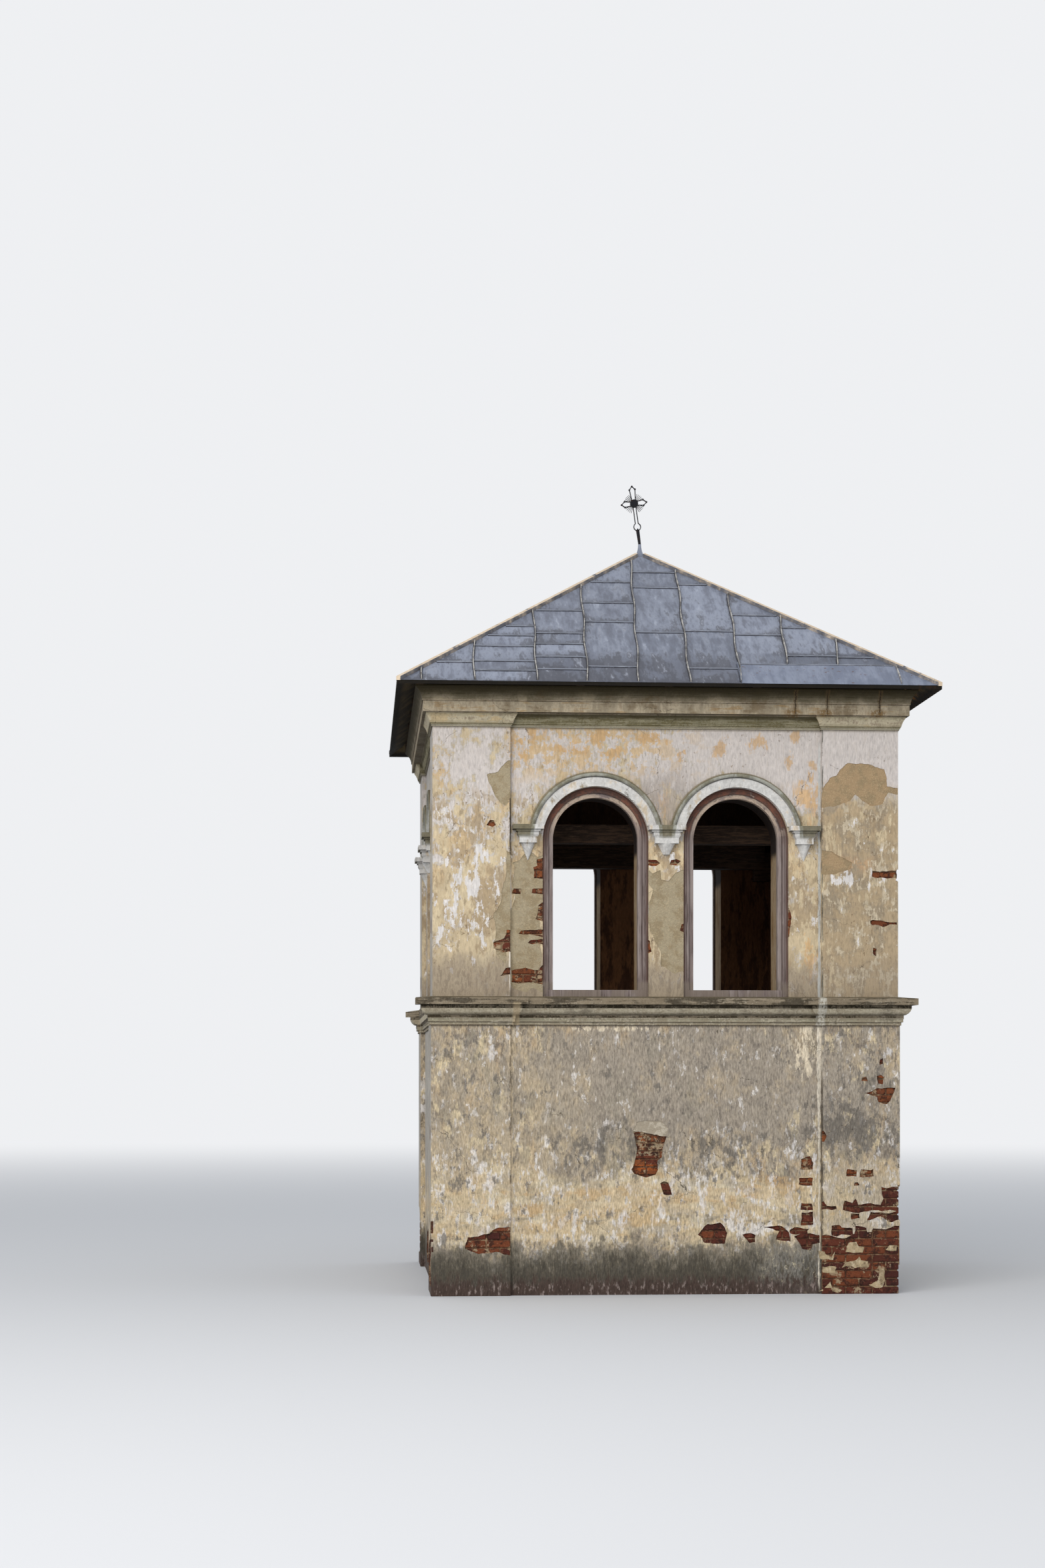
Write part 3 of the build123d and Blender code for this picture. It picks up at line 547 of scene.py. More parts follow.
def oldMortar():
    # what the fallen plaster leaves between the bricks
    p = Paint("oldMortar", 0.95)
    grit = p.noise(50, 5, 0.72)
    p.ground((126, 96, 72))
    p.coat((90, 60, 46), p.noise(8, 5, 0.72).rise(0.46, 0.54))
    p.coat((172, 148, 116), p.noise(9, 5, 0.7, shift=7).rise(0.54, 0.6) * 0.8)
    p.coat((56, 38, 30), p.noise(22, 5, 0.7, shift=3).rise(0.54, 0.62) * 0.8)
    p.shade(1 + grit.swing(0.6))
    return p.finish(grit, 0.008)


def plasterRemnant():
    # cream plaster left in islands on the bare brickwork
    p = Paint("plasterRemnant", 0.95)
    grit = p.noise(60, 5, 0.72)
    p.ground((186, 166, 132))
    p.coat((150, 132, 104), p.noise(9, 5, 0.7).rise(0.48, 0.56) * 0.8)
    p.coat((206, 190, 160), p.noise(30, 5, 0.7, (1, 1, 0.5), 3).rise(0.53, 0.6) * 0.7)
    p.coat((104, 84, 64), p.noise(26, 4, 0.7, shift=5).rise(0.57, 0.63) * 0.7)
    p.shade(1 + grit.swing(0.9))
    return p.finish(grit, 0.008)


# The bricks: their ground, tones from dark to red, soot and freshness, and the lime smeared on them
brick = {
    "ground": (100, 52, 38), "dark": (76, 40, 34), "red": (120, 66, 42), "orange": (142, 82, 46),
    "soot": (66, 44, 34), "fresh": (168, 90, 42), "lime": (172, 152, 122),
}


def oldBrick():
    # each brick has a tone of its own, and keeps smears of lime
    p = Paint("oldBrick", 0.92)
    own = p.place.node("ShaderNodeAttribute", out="Fac", attribute_name="tone")
    grit = p.noise(75, 5, 0.72)
    worn = p.noise(15, 6, 0.72, shift=4)
    p.ground(brick["ground"])
    p.coat(brick["dark"], own.rise(0.15, 0.5))
    p.coat(brick["red"], own.rise(0.6, 0.9))
    p.coat(brick["orange"], p.z.rise(0.98, 1.1) * (own * 0.5 + worn * 0.5).rise(0.25, 0.5) * 0.7)
    # the patch in the middle of the front is sooty above and fresh orange below
    middle = p.area(-0.4, 0.1, 1.335, 1.62, 0.01)
    p.coat(brick["soot"], middle * worn.rise(0.42, 0.5) * 0.8)
    p.coat((168, 150, 122), middle * p.noise(16, 5, 0.7, (1, 1, 1.4), 63).rise(0.5, 0.54) * 0.85)
    p.coat(brick["fresh"], p.area(-0.4, 0.1, 1.195, 1.25, 0.004) * 0.75)
    p.coat((50, 33, 28), worn.rise(0.5, 0.58) * 0.8)
    p.coat((132, 84, 62), p.noise(24, 5, 0.7, shift=12).rise(0.57, 0.63) * 0.5)
    lime = p.noise(6.5, 7, 0.76, shift=9) + p.z.rise(0.7, 0.3) * 0.01
    lime = lime - p.area(-0.1, 0.08, 0.9, 1.12, 0.01) * 0.2
    p.coat(brick["lime"], lime.rise(0.57, 0.61) * 0.85)
    p.shade(1 + grit.swing(1.2))
    return p.finish(grit + worn * 1.5, 0.008)


# Run mouldings. Members painted dark as shade or pale as highlight, standing in for the shading of the
# profile, are given by level, height, colour and strength, and cracks by their place along the cornice
mouldings = {
    "ground": (160, 146, 124), "pale": (184, 171, 150), "dull": (122, 109, 89), "arch": (204, 202, 198),
    "bead": (150, 150, 138), "bed": (186, 176, 150), "shadedHollowBed": (134, 129, 102),
    "bandMiddle": (0.52, 0.59), "beadAt": 0.6, "grooveAt": 0.632,
    "stringCourse": [
        (0.0, 0.006, (64, 55, 42), 0.9), (0.006, 0.021, (154, 146, 124), 0.7),
        (0.027, 0.007, (78, 70, 56), 0.9), (0.034, 0.032, (142, 138, 118), 0.8),
        (0.068, 0.028, (50, 43, 30), 0.95), (0.098, 0.06, (180, 172, 150), 0.8),
        (0.158, 0.037, (44, 38, 26), 0.97), (0.195, 0.062, (112, 100, 82), 0.85),
        (0.257, 0.02, (98, 90, 70), 0.8),
    ],
    "cornice": [
        (0.0, 0.016, (96, 86, 62), 0.7), (0.022, 0.008, (112, 100, 74), 0.5),
        (0.112, 0.012, (92, 82, 58), 0.7), (0.13, 0.1, (163, 152, 129), 0.65),
        (0.228, 0.008, (70, 60, 42), 0.8), (0.244, 0.11, (104, 97, 76), 0.75),
        (0.29, 0.005, (78, 70, 50), 0.7), (0.322, 0.005, (72, 64, 46), 0.7),
        # the last member is painted shadow under the eave
        (0.335, 0.05, (24, 20, 13), 0.97),
    ],
    "cracks": (1.23, 1.54, 2.05),
}


def memberStripes(p):
    # the members painted in turns as shade and highlight of the profile, broken up in patches; tan and brown
    # clouds over the cornice
    stripeBreakup = p.mixed(level=0.35, fleck=0.35, streak=0.3).rise(0.44, 0.54)
    for foot, members in ((lowerHead, mouldings["stringCourse"]), (wallHead, mouldings["cornice"])):
        for above, tall, colour, strength in members:
            stripe = p.z.band(foot + above, foot + above + tall, 0.003)
            p.coat(colour, stripe * (stripeBreakup * 0.55 + 0.45) * strength)
    high = p.z.band(wallHead + 0.12, wallHead + 0.34, 0.02)
    p.coat((188, 172, 142), high * p.mixed(cloud=0.8, level=0.2).rise(0.5, 0.62) * 0.5)
    p.coat((104, 84, 56), high * p.mixed(cloud=0.7, level=0.3).rise(0.48, 0.38) * 0.6)


def stringCourse(p):
    # pale lime and dark damp in turns, the lime kept off the painted shade lines, the slab on top blotched
    below = p.z.rise(3.4, 3.3)
    offShadeLines = 1 - p.z.band(lowerHead + 0.07, lowerHead + 0.094, 0.004)
    offShadeLines = offShadeLines - p.z.band(lowerHead + 0.16, lowerHead + 0.195, 0.004)
    pale = p.mixed(cloud=0.35, level=0.35, fleck=0.3).rise(0.51, 0.56)
    p.coat((186, 176, 156), pale * 0.7 * below * offShadeLines)
    p.coat((72, 64, 50), p.mixed(cloud=0.6, level=0.3, streak=0.1).rise(0.53, 0.6) * 0.55 * below)
    slab = p.z.band(lowerHead + 0.19, lowerHead + 0.28, 0.004)
    p.coat((58, 50, 38), slab * p.mixed(level=0.55, cloud=0.45).rise(0.49, 0.54) * 0.8)


def bedMoulding(p):
    # pale on the pilasters and brown-green in the hollow between them, the hollow partly darkened as painted
    # shade; painted shade under the corona and painted lines stand for the profile
    bed = p.z.band(wallHead + 0.02, wallHead + 0.118, 0.004)
    deep = p.depth().rise(upperFace + 0.035, upperFace + 0.012)
    proud = bed * (1 - deep)
    hollow = bed * deep
    p.coat(mouldings["bed"], proud * p.mixed(level=0.5, fleck=0.3, cloud=0.2).rise(0.43, 0.5) * 0.85)
    p.coat((182, 154, 108), proud * p.mixed(cloud=0.6, level=0.4).rise(0.53, 0.58) * 0.5)
    # painted shade under the corona, on the pilasters
    p.coat((128, 120, 94), proud * p.z.rise(wallHead + 0.08, wallHead + 0.12) * 0.5)
    p.coat(mouldings["shadedHollowBed"], hollow * 0.8)
    p.coat((98, 90, 62), hollow * p.mixed(level=0.6, fleck=0.4).rise(0.46, 0.54) * 0.8)
    # painted shadow under the corona in the hollow, a painted shade line and a pale painted highlight at the
    # foot
    p.coat((64, 56, 36), hollow * (p.z + p.level.swing(0.05)).rise(wallHead + 0.07, wallHead + 0.105) * 0.8)
    p.coat((70, 64, 46), p.z.band(wallHead + 0.046, wallHead + 0.05, 0.003) * deep * 0.6)
    p.coat((164, 158, 138), p.z.band(wallHead + 0.002, wallHead + 0.018, 0.003) * deep * 0.8)


def corniceStainsAndEaveShade(p):
    # the fascia stained, and painted shade darker and darker towards the eave
    fascia = p.z.band(wallHead + 0.13, wallHead + 0.23, 0.01)
    p.coat((180, 166, 142), fascia * p.mixed(cloud=0.6, streak=0.4).rise(0.46, 0.54) * 0.75)
    p.coat((150, 118, 70), fascia * p.mixed(cloud=0.4, level=0.6).rise(0.54, 0.6) * 0.6)
    p.coat((126, 108, 84), fascia * p.mixed(streak=0.5, cloud=0.5).rise(0.53, 0.6) * 0.5)
    # painted shade under the eave
    eaveShade = p.z.rise(wallHead + 0.2, wallHead + 0.35) + p.streak.swing(0.5) + p.level.swing(0.4)
    p.coat((66, 60, 42), eaveShade.rise(0.2, 1.1) * p.z.rise(wallHead, wallHead + 0.1) * 0.85)
    p.coat((52, 44, 24), (p.z + p.level.swing(0.08)).rise(wallHead + 0.23, wallHead + 0.35) * 0.75)


def archBands(p):
    # arch bands and corbels: whiter, cream along the middle of the band, the bead grey-green, partly dirt and
    # partly painted shade, and a dark groove line outside, partly dirt and partly painted shadow
    ring = p.z.rise(springLevel, springLevel + 0.05) * p.arches
    reach = p.archReach() + p.fleck.swing(0.006)
    p.coat(mouldings["arch"], p.mixed(streak=0.4, cloud=0.6).rise(0.36, 0.44) * p.arches)
    creamy = reach.band(*mouldings["bandMiddle"], 0.012) * p.mixed(cloud=0.7, streak=0.3).rise(0.5, 0.58)
    p.coat((206, 180, 138), creamy * ring * 0.6)
    # the bead darkened grey-green, partly dirt and partly painted shade
    bead = reach.rise(mouldings["beadAt"], mouldings["beadAt"] + 0.012) * ring
    p.coat(mouldings["bead"], bead * 0.85)
    p.coat((114, 110, 90), bead * p.mixed(fleck=0.2, cloud=0.8).rise(0.44, 0.54) * 0.8)
    # a dark line outside the bead, partly dirt and partly painted shadow
    groove = reach.rise(mouldings["grooveAt"], mouldings["grooveAt"] + 0.01) * ring
    p.coat((112, 104, 82), groove * 0.8)
    p.coat((140, 134, 120), p.mixed(cloud=0.6, streak=0.4).rise(0.53, 0.6) * p.arches * 0.4)


def mouldingMarks(p):
    # dirt on ledges, painted shade on faces turned downwards, lime run down over the string course, cracks
    # and rust in the cornice
    up = p.facing(2)
    p.coat((104, 94, 74), up.rise(0.5, 0.9) * p.mixed(fleck=0.5, cloud=0.5).rise(0.38, 0.5) * 0.85)
    # faces turned downwards darkened as painted shade
    p.coat((48, 42, 30), up.rise(-0.6, -0.95) * 0.7)
    run = p.upright(pilaster - 0.01, p.streak.swing(0.1)).rise(0.05, 0.02) * p.z.rise(2.9, 2.84)
    p.coat((190, 186, 174), run * p.front * p.fleck.rise(0.38, 0.5) * 0.85)
    run = p.upright(-pilaster + 0.05, p.streak.swing(0.08)).rise(0.05, 0.02) * p.z.rise(2.82, 2.78)
    p.coat((176, 158, 128), run * p.front * 0.8)
    for x in mouldings["cracks"]:
        across = p.upright(x, p.fleck.swing(0.03) + p.level.swing(0.04))
        height = p.z.band(wallHead + 0.13, wallHead + 0.36, 0.01) * p.front
        p.coat((98, 78, 50), across.rise(0.03, 0.008) * height * 0.5)
        p.coat((44, 34, 26), across.rise(0.008, 0.003) * height * 0.85)
        rust = p.spot(x - 0.02, wallHead + 0.15, 0.09, 0.035, 0.5) * p.fleck.rise(0.42, 0.52)
        p.coat((110, 84, 46), rust * 0.8)
    p.coat((70, 60, 46), p.cracks(1.4, 0.0025, shift=15) * 0.7)


def mouldedPlaster():
    # run mouldings: limewash with dirt on its ledges, painted shade in its hollows and greenish painted shade
    # under the eaves
    p = Paint("mouldedPlaster", 0.92)
    p.keep(streak=(14, 5, 0.7, (1, 1, 0.2), 2), level=(3.4, 6, 0.72, (1, 1, 10), 6),
           cloud=(3, 5, 0.66, (1, 1, 1), 11), fleck=(52, 4, 0.68, (1, 1, 0.7), 4))
    p.arches = p.z.band(3.95, 5.1, 0.03)
    p.ground(mouldings["ground"])
    p.coat(mouldings["pale"], p.mixed(cloud=0.4, streak=0.3, fleck=0.3).rise(0.49, 0.54) * 0.8)
    p.coat(mouldings["dull"], p.mixed(level=0.5, fleck=0.5).rise(0.49, 0.57) * (0.8 - p.arches * 0.7))
    memberStripes(p)
    stringCourse(p)
    bedMoulding(p)
    corniceStainsAndEaveShade(p)
    archBands(p)
    mouldingMarks(p)
    p.shade(1 + p.fleck.swing(0.9) + p.streak.swing(0.6) + p.level.swing(0.4))
    return p.finish(p.fleck + p.streak, 0.006)


# The arched frames: bare wood, what is left of the paint, and where painted shadow lines of the rebates run
# round the rings
frameLook = {
    "ground": (128, 115, 111), "dark": (98, 83, 78), "pale": (156, 146, 141), "inner": (184, 165, 146),
    "outer": (84, 62, 54), "redPaint": (128, 80, 62), "rail": (126, 114, 104), "rebateShadowLines": (0.452, 0.479),
}


def frameWood():
    # grey-mauve bare frames, the grain bending round the arch; the front ring keeps dark red paint
    p = Paint("frameWood", 0.82)
    reach = p.archReach()
    at = reach.node("ShaderNodeCombineXYZ", {0: reach, 1: p.z * 0.05, 2: p.y + p.x})
    grain = p.noise(75, 4, 0.62, (1, 1, 0.5), 2, at=at)
    broad = p.noise(22, 4, 0.62, (1, 1, 0.4), 6, at=at)
    blotch = p.noise(5, 5, 0.65, (1, 1, 0.4), 5)
    arch = p.z.rise(4.3, 4.6)
    inner = reach.rise(0.456, 0.448)
    outer = (1 - inner) * arch
    p.ground(frameLook["ground"])
    p.coat(frameLook["dark"], (blotch * 0.5 + broad * 0.5).rise(0.46, 0.55) * 0.75)
    p.coat(frameLook["pale"], (broad * 0.5 + grain * 0.5).rise(0.53, 0.6) * 0.7)
    # the inner ring pale beige, painted lighter still to offset the shade of its stepped-back face
    p.coat(frameLook["inner"], inner * arch * (blotch * 0.4 + broad * 0.6).rise(0.42, 0.52) * 0.85)
    p.coat((152, 140, 135), inner * (1 - arch) * broad.rise(0.42, 0.54) * 0.7)
    p.coat(frameLook["outer"], outer * 0.85)
    p.coat((62, 47, 41), outer * grain.rise(0.47, 0.55) * 0.6)
    p.coat((66, 52, 46), grain.rise(0.43, 0.36) * 0.6)
    # painted shadow lines of the rebates
    for place in frameLook["rebateShadowLines"]:
        p.coat((62, 48, 43), (reach - place).size().rise(0.006, 0.002) * 0.6)
    red = p.noise(9, 6, 0.72, (1, 1, 1), 8) * 0.7 + broad * 0.3 + p.x.rise(-0.6, -0.3) * 0.02
    p.coat(frameLook["redPaint"], red.rise(0.46, 0.6) * outer * 0.65)
    p.coat((176, 158, 144), (red - 0.01).rise(0.47, 0.43) * arch * p.x.rise(0.7, 0.9) * 0.7)
    p.coat((80, 54, 46), (reach + grain.swing(0.02)).rise(0.488, 0.496) * 0.75)
    rail = p.z.rise(floorLevel + 0.17, floorLevel + 0.12)
    p.coat(frameLook["rail"], rail * blotch.rise(0.4, 0.52) * 0.8)
    p.shade(1 + grain.swing(0.5) + blotch.swing(0.6))
    return p.finish(grain + broad, 0.004)


def darkTimber():
    # old sawn timber, darkened by smoke
    p = Paint("darkTimber", 0.85)
    grain = p.noise(14, 5, 0.68, (0.3, 1, 3))
    p.ground((72, 55, 42))
    p.coat((44, 33, 26), grain.rise(0.42, 0.56))
    p.coat((104, 84, 66), grain.rise(0.58, 0.7) * 0.6)
    p.shade(1 + p.noise(60).swing(0.5))
    return p.finish(grain, 0.004)


def eaveBoards():
    # sawn boards under the overhang, dark, and orange-brown towards the right eave; painted shade darkens
    # them inside the walls and most on their edge at the eave
    p = Paint("eaveBoards", 0.85)
    grain = p.noise(60, 4, 0.6)
    p.ground((74, 62, 40))
    p.coat((48, 40, 27), p.noise(5, 4, 0.6).rise(0.44, 0.56))
    p.coat((150, 104, 52), p.noise(9, 5, 0.65, shift=4).rise(0.5, 0.6) * p.x.rise(2.25, 2.4) * 0.9)
    # painted shade inside the walls and on the edge at the eave
    p.coat((30, 22, 17), p.depth().rise(2.1, 1.8) * 0.9)
    p.coat((18, 15, 11), p.depth().rise(2.5, 2.56) * 0.95)
    p.shade(1 + grain.swing(0.6))
    return p.finish(grain, 0.003)


# The roof's sheet, aged and newer
sheetLook = {
    "ground": (121, 127, 142), "palest": (143, 150, 167), "darkest": (104, 110, 125),
    "shine": (154, 161, 177), "dull": (98, 102, 116), "soot": (66, 67, 76), "runs": (168, 174, 188),
    "right": (92, 98, 112), "newGround": (112, 120, 139), "newShine": (134, 142, 160),
    "newDull": (104, 110, 128), "rust": (92, 62, 50),
}


def agedSheet(p):
    # separate trays, each with a tone of its own, sooty low down, above welts and beside seams
    own = p.place.node("ShaderNodeAttribute", out="Fac", attribute_name="tone")
    soil = p.place.node("ShaderNodeAttribute", out="Fac", attribute_name="soil")
    right = p.x.rise(0.6, 1.3) * p.front
    p.ground(sheetLook["ground"])
    p.coat(sheetLook["palest"], own.rise(0.4, 1.0) * 0.9)
    p.coat(sheetLook["darkest"], own.rise(0.5, 0.0) * 0.8)
    p.coat(sheetLook["shine"], p.mixed(cloud=0.45, runs=0.55).rise(0.47, 0.6) * 0.7)
    p.coat(sheetLook["dull"], p.mixed(runs=0.5, cloud=0.3, fine=0.2).rise(0.5, 0.41) * 0.6)
    p.coat(sheetLook["right"], right * 0.7)
    grime = soil * 0.12 + p.z.rise(6.3, 5.95) * p.x.band(-1.3, 0.65, 0.15) * p.front * 0.1
    soot = p.mixed(runs=0.45, cloud=0.4, fine=0.15) + grime - 0.008
    p.coat(sheetLook["soot"], soot.rise(0.52, 0.61) * 0.8)
    p.coat(sheetLook["runs"], p.mixed(runs=0.7, fine=0.3).rise(0.56, 0.66) * 0.5)
    p.coat(sheetLook["right"], right * 0.3)


def newerSheet(p):
    # the newer length along the eave is plainer and bluer, with specks of rust
    p.ground(sheetLook["newGround"])
    p.coat(sheetLook["newShine"], p.mixed(cloud=0.5, runs=0.5).rise(0.46, 0.58) * 0.8)
    p.coat(sheetLook["newDull"], p.mixed(runs=0.5, fine=0.5).rise(0.54, 0.62) * 0.5)
    p.coat(sheetLook["rust"], p.noise(26, 4, 0.6, shift=21).rise(0.64, 0.68) * 0.8)


def sheetMetal(name, layers):
    # dull galvanised sheet
    p = Paint(name, 0.5, Metallic=0.3, Specular_IOR_Level=0.5)
    p.keep(cloud=(2.6, 4, 0.55), runs=(12, 5, 0.62, (1, 0.2, 0.2), 8), fine=(40, 4, 0.6, (1, 0.3, 0.3), 3))
    layers(p)
    p.shade(1 + p.fine.swing(0.35) + p.runs.swing(0.5))
    return p.finish(p.fine * 0.3 + p.cloud, 0.005, roughness=0.42 + p.fine * 0.2)


def seamMetal():
    # the crest of a seam painted pale in patches as a highlight, and darker in others
    p = Paint("seamMetal", 0.5, Metallic=0.25, Specular_IOR_Level=0.5)
    p.ground((142, 140, 138))
    p.coat((204, 200, 192), p.noise(5, 4, 0.6).rise(0.42, 0.54) * 0.85)
    p.coat((86, 80, 74), p.noise(9, 4, 0.6, shift=6).rise(0.52, 0.6) * 0.75)
    return p.finish(p.noise(40), 0.002)


def seamDirtAndShade():
    # soil in the corners beside seams and welts, its darkness partly painted shade
    p = Paint("seamDirtAndShade", 0.8)
    p.ground((44, 44, 50))
    p.coat((78, 79, 88), p.noise(12, 5, 0.7).rise(0.5, 0.6))
    return p.finish(p.noise(40), 0.002)


def foldMetal():
    # welts lie flat and hold a thin film of dirt
    p = Paint("foldMetal", 0.6, Metallic=0.25)
    p.ground((126, 131, 143))
    p.coat((92, 95, 102), p.noise(9, 5, 0.7, (0.4, 1, 1)).rise(0.5, 0.58) * 0.6)
    p.coat((148, 153, 164), p.noise(14, 5, 0.7, (0.4, 1, 1), 4).rise(0.55, 0.62) * 0.8)
    return p.finish(p.noise(40), 0.002)


def shadedDrip():
    # the turned-down edge, painted black as the shade under the eave
    p = Paint("shadedDrip", 0.95, Specular_IOR_Level=0.1)
    p.ground((20, 17, 14))
    p.coat((44, 38, 30), p.noise(7, 5, 0.7).rise(0.52, 0.62) * 0.7)
    return p.finish(p.noise(40), 0.002)


def hipMetal():
    # the crown of each hip cap painted pale as a highlight, with a dark line of painted shade beside it
    p = Paint("hipMetal", 0.55, Metallic=0.2, Specular_IOR_Level=0.5)
    aside = (p.x.size() - p.y.size()).size() + p.noise(8, 4, 0.6, shift=17).swing(0.012)
    p.ground((112, 118, 132))
    p.coat((78, 80, 88), p.noise(10, 5, 0.68, shift=8).rise(0.5, 0.58) * 0.7)
    # painted shade beside the crown
    p.coat((86, 84, 86), aside.rise(0.062, 0.05) * 0.7)
    # painted highlight along the crown
    crown = aside.rise(0.041, 0.034)
    p.coat((208, 188, 162), crown * p.noise(6, 5, 0.68).rise(0.34, 0.42))
    p.coat((226, 210, 188), crown * p.noise(14, 5, 0.68, shift=3).rise(0.52, 0.6) * 0.7)
    return p.finish(p.noise(30), 0.002)


def wroughtIron():
    # black iron, rusty in places and brown towards its foot
    p = Paint("wroughtIron", 0.75, Metallic=0.3, Specular_IOR_Level=0.3)
    p.ground((24, 25, 30))
    p.coat((70, 44, 34), p.noise(22, 5, 0.7).rise(0.54, 0.64) * 0.6)
    p.coat((54, 30, 24), p.z.rise(7.72, 7.64) * 0.7)
    return p.finish(p.noise(60), 0.001)


upperMaterial = upperLimewash()
lowerMaterial = lowerLimewash()
renderMaterial = bareRender()
mortarMaterial = oldMortar()
brickMaterial = oldBrick()
remnantMaterial = plasterRemnant()
mouldingMaterial = mouldedPlaster()
frameMaterial = frameWood()
timberMaterial = darkTimber()
boardMaterial = eaveBoards()
sheetMaterial = sheetMetal("roofSheet", agedSheet)
newSheetMaterial = sheetMetal("newRoofSheet", newerSheet)
seamMaterial = seamMetal()
dirtAndShadeMaterial = seamDirtAndShade()
foldMaterial = foldMetal()
hipMaterial = hipMetal()
dripShadeMaterial = shadedDrip()
ironMaterial = wroughtIron()
print("materials made")

# The material of each of the frame's nodes, by how its name starts; the other nodes are timber
nodeMaterials = {
    "lower_": lowerMaterial, "upper_": upperMaterial, "string_course": mouldingMaterial,
    "archivolts": mouldingMaterial, "corbels": mouldingMaterial, "cornice": mouldingMaterial,
    "window_frames": frameMaterial, "roof_boarding": boardMaterial, "roof_sheet": sheetMaterial,
    "finial_flashing": sheetMaterial, "hip_caps": hipMaterial, "iron_cross": ironMaterial,
}
for nodeName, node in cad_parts.items():
    fitting = [material for start, material in nodeMaterials.items() if nodeName.startswith(start)]
    node.data.materials.clear()
    node.data.materials.append(fitting[0] if fitting else timberMaterial)


# Fallen plaster: how deep it goes, how ragged its rim is; and the brickwork behind it
fallen = {
    "brickDepth": 0.022, "renderDepth": 0.005, "reachOut": 0.03, "longest": 0.028, "ragged": 0.75,
    "turns": 5, "islandBack": 0.006, "islandRagged": 1.0, "weld": 0.00002, "flat": 0.002,
}
brickwork = {
    "course": 0.077, "height": 0.065, "stretcher": 0.25, "header": 0.12, "joint": 0.012, "bed": 0.001,
    "behind": 0.01, "uneven": 0.004, "tilt": 0.012, "ease": 0.007, "shallow": 0.1, "shortest": 0.03,
    "endGap": 0.004, "headersEvery": 4,
}


# Each patch is an outline in metres as (x, z) seen from outside its side, x to the right
lowerPierPatches = {
    "front": [
        [(1.49, -0.05), (2.3, -0.05), (2.3, 0.6), (2.1, 0.62), (2.09, 0.565), (1.49, 0.57)],
        [(1.49, 0.815), (1.65, 0.82), (1.64, 0.85), (1.55, 0.85), (1.52, 0.9), (1.49, 0.88)],
        [(1.72, 0.81), (2.09, 0.815), (2.09, 0.87), (1.86, 0.875), (1.83, 0.92), (1.8, 0.88), (1.73, 0.9)],
        [(2.07, 0.8), (2.3, 0.79), (2.3, 1.02), (2.1, 1.03)],
        [(1.785, 0.72), (1.875, 0.73), (1.87, 0.775), (1.79, 0.778)],
        [(1.953, 0.722), (2.3, 0.715), (2.3, 0.79), (1.97, 0.775)],
        [(1.59, 0.56), (1.81, 0.56), (1.8, 0.63), (1.7, 0.64), (1.68, 0.665), (1.6, 0.66)],
        [(1.82, 0.56), (1.95, 0.56), (1.94, 0.64), (1.83, 0.66)],
        [(1.975, 0.56), (2.3, 0.57), (2.3, 0.66), (2.0, 0.63)],
        [(1.744, 1.135), (1.84, 1.13), (1.845, 1.2), (1.75, 1.205)],
        [(1.871, 1.13), (2.005, 1.13), (2.0, 1.205), (1.88, 1.2)],
        [(1.812, 1.046), (1.87, 1.05), (1.85, 1.078), (1.82, 1.075)],
        [(1.89, 2.052), (1.95, 2.05), (1.94, 2.095), (1.9, 2.09)],
        [(2.05, 2.03), (2.1, 2.02), (2.11, 2.09), (2.08, 2.115), (2.04, 2.1)],
        [(1.92, 1.93), (2.04, 1.9), (2.06, 1.85), (2.14, 1.83), (2.2, 1.9), (2.22, 1.99), (2.05, 1.98)],
        [(2.067, 2.21), (2.105, 2.22), (2.1, 2.275), (2.07, 2.26)],
        [(1.49, 1.47), (1.53, 1.47), (1.55, 1.53), (1.52, 1.575), (1.49, 1.57)],
        [(-1.93, 0.45), (-1.82, 0.4), (-1.62, 0.42), (-1.49, 0.38), (-1.49, 0.65), (-1.62, 0.66),
         (-1.72, 0.6), (-1.9, 0.56)],
    ],
    "right": [
        [(-2.3, -0.05), (-1.9, -0.05), (-1.86, 0.3), (-1.98, 0.55), (-2.02, 0.8), (-2.12, 1.03),
         (-2.3, 1.04)],
        [(-1.8, 0.5), (-1.62, 0.47), (-1.6, 0.62), (-1.74, 0.64)],
        [(1.62, 0.2), (1.9, 0.12), (2.3, 0.1), (2.3, 0.5), (2.1, 0.56), (1.8, 0.42)],
    ],
    "left": [
        [(1.55, 0.16), (1.8, 0.08), (2.3, 0.1), (2.3, 0.72), (2.16, 0.7), (2.05, 0.52), (1.8, 0.5),
         (1.6, 0.4)],
        [(-2.3, 0.1), (-2.0, 0.12), (-1.7, 0.2), (-1.62, 0.42), (-1.9, 0.6), (-2.3, 0.66)],
        [(1.9, 1.5), (2.02, 1.46), (2.06, 1.6), (1.94, 1.64)],
    ],
    "back": [
        [(-2.3, 0.08), (-1.95, 0.1), (-1.7, 0.24), (-1.86, 0.46), (-2.3, 0.52)],
        [(1.7, 0.22), (1.95, 0.16), (2.3, 0.12), (2.3, 0.64), (2.12, 0.7), (1.9, 0.5)],
        [(-1.9, 1.82), (-1.74, 1.8), (-1.7, 1.95), (-1.86, 1.97)],
    ],
}
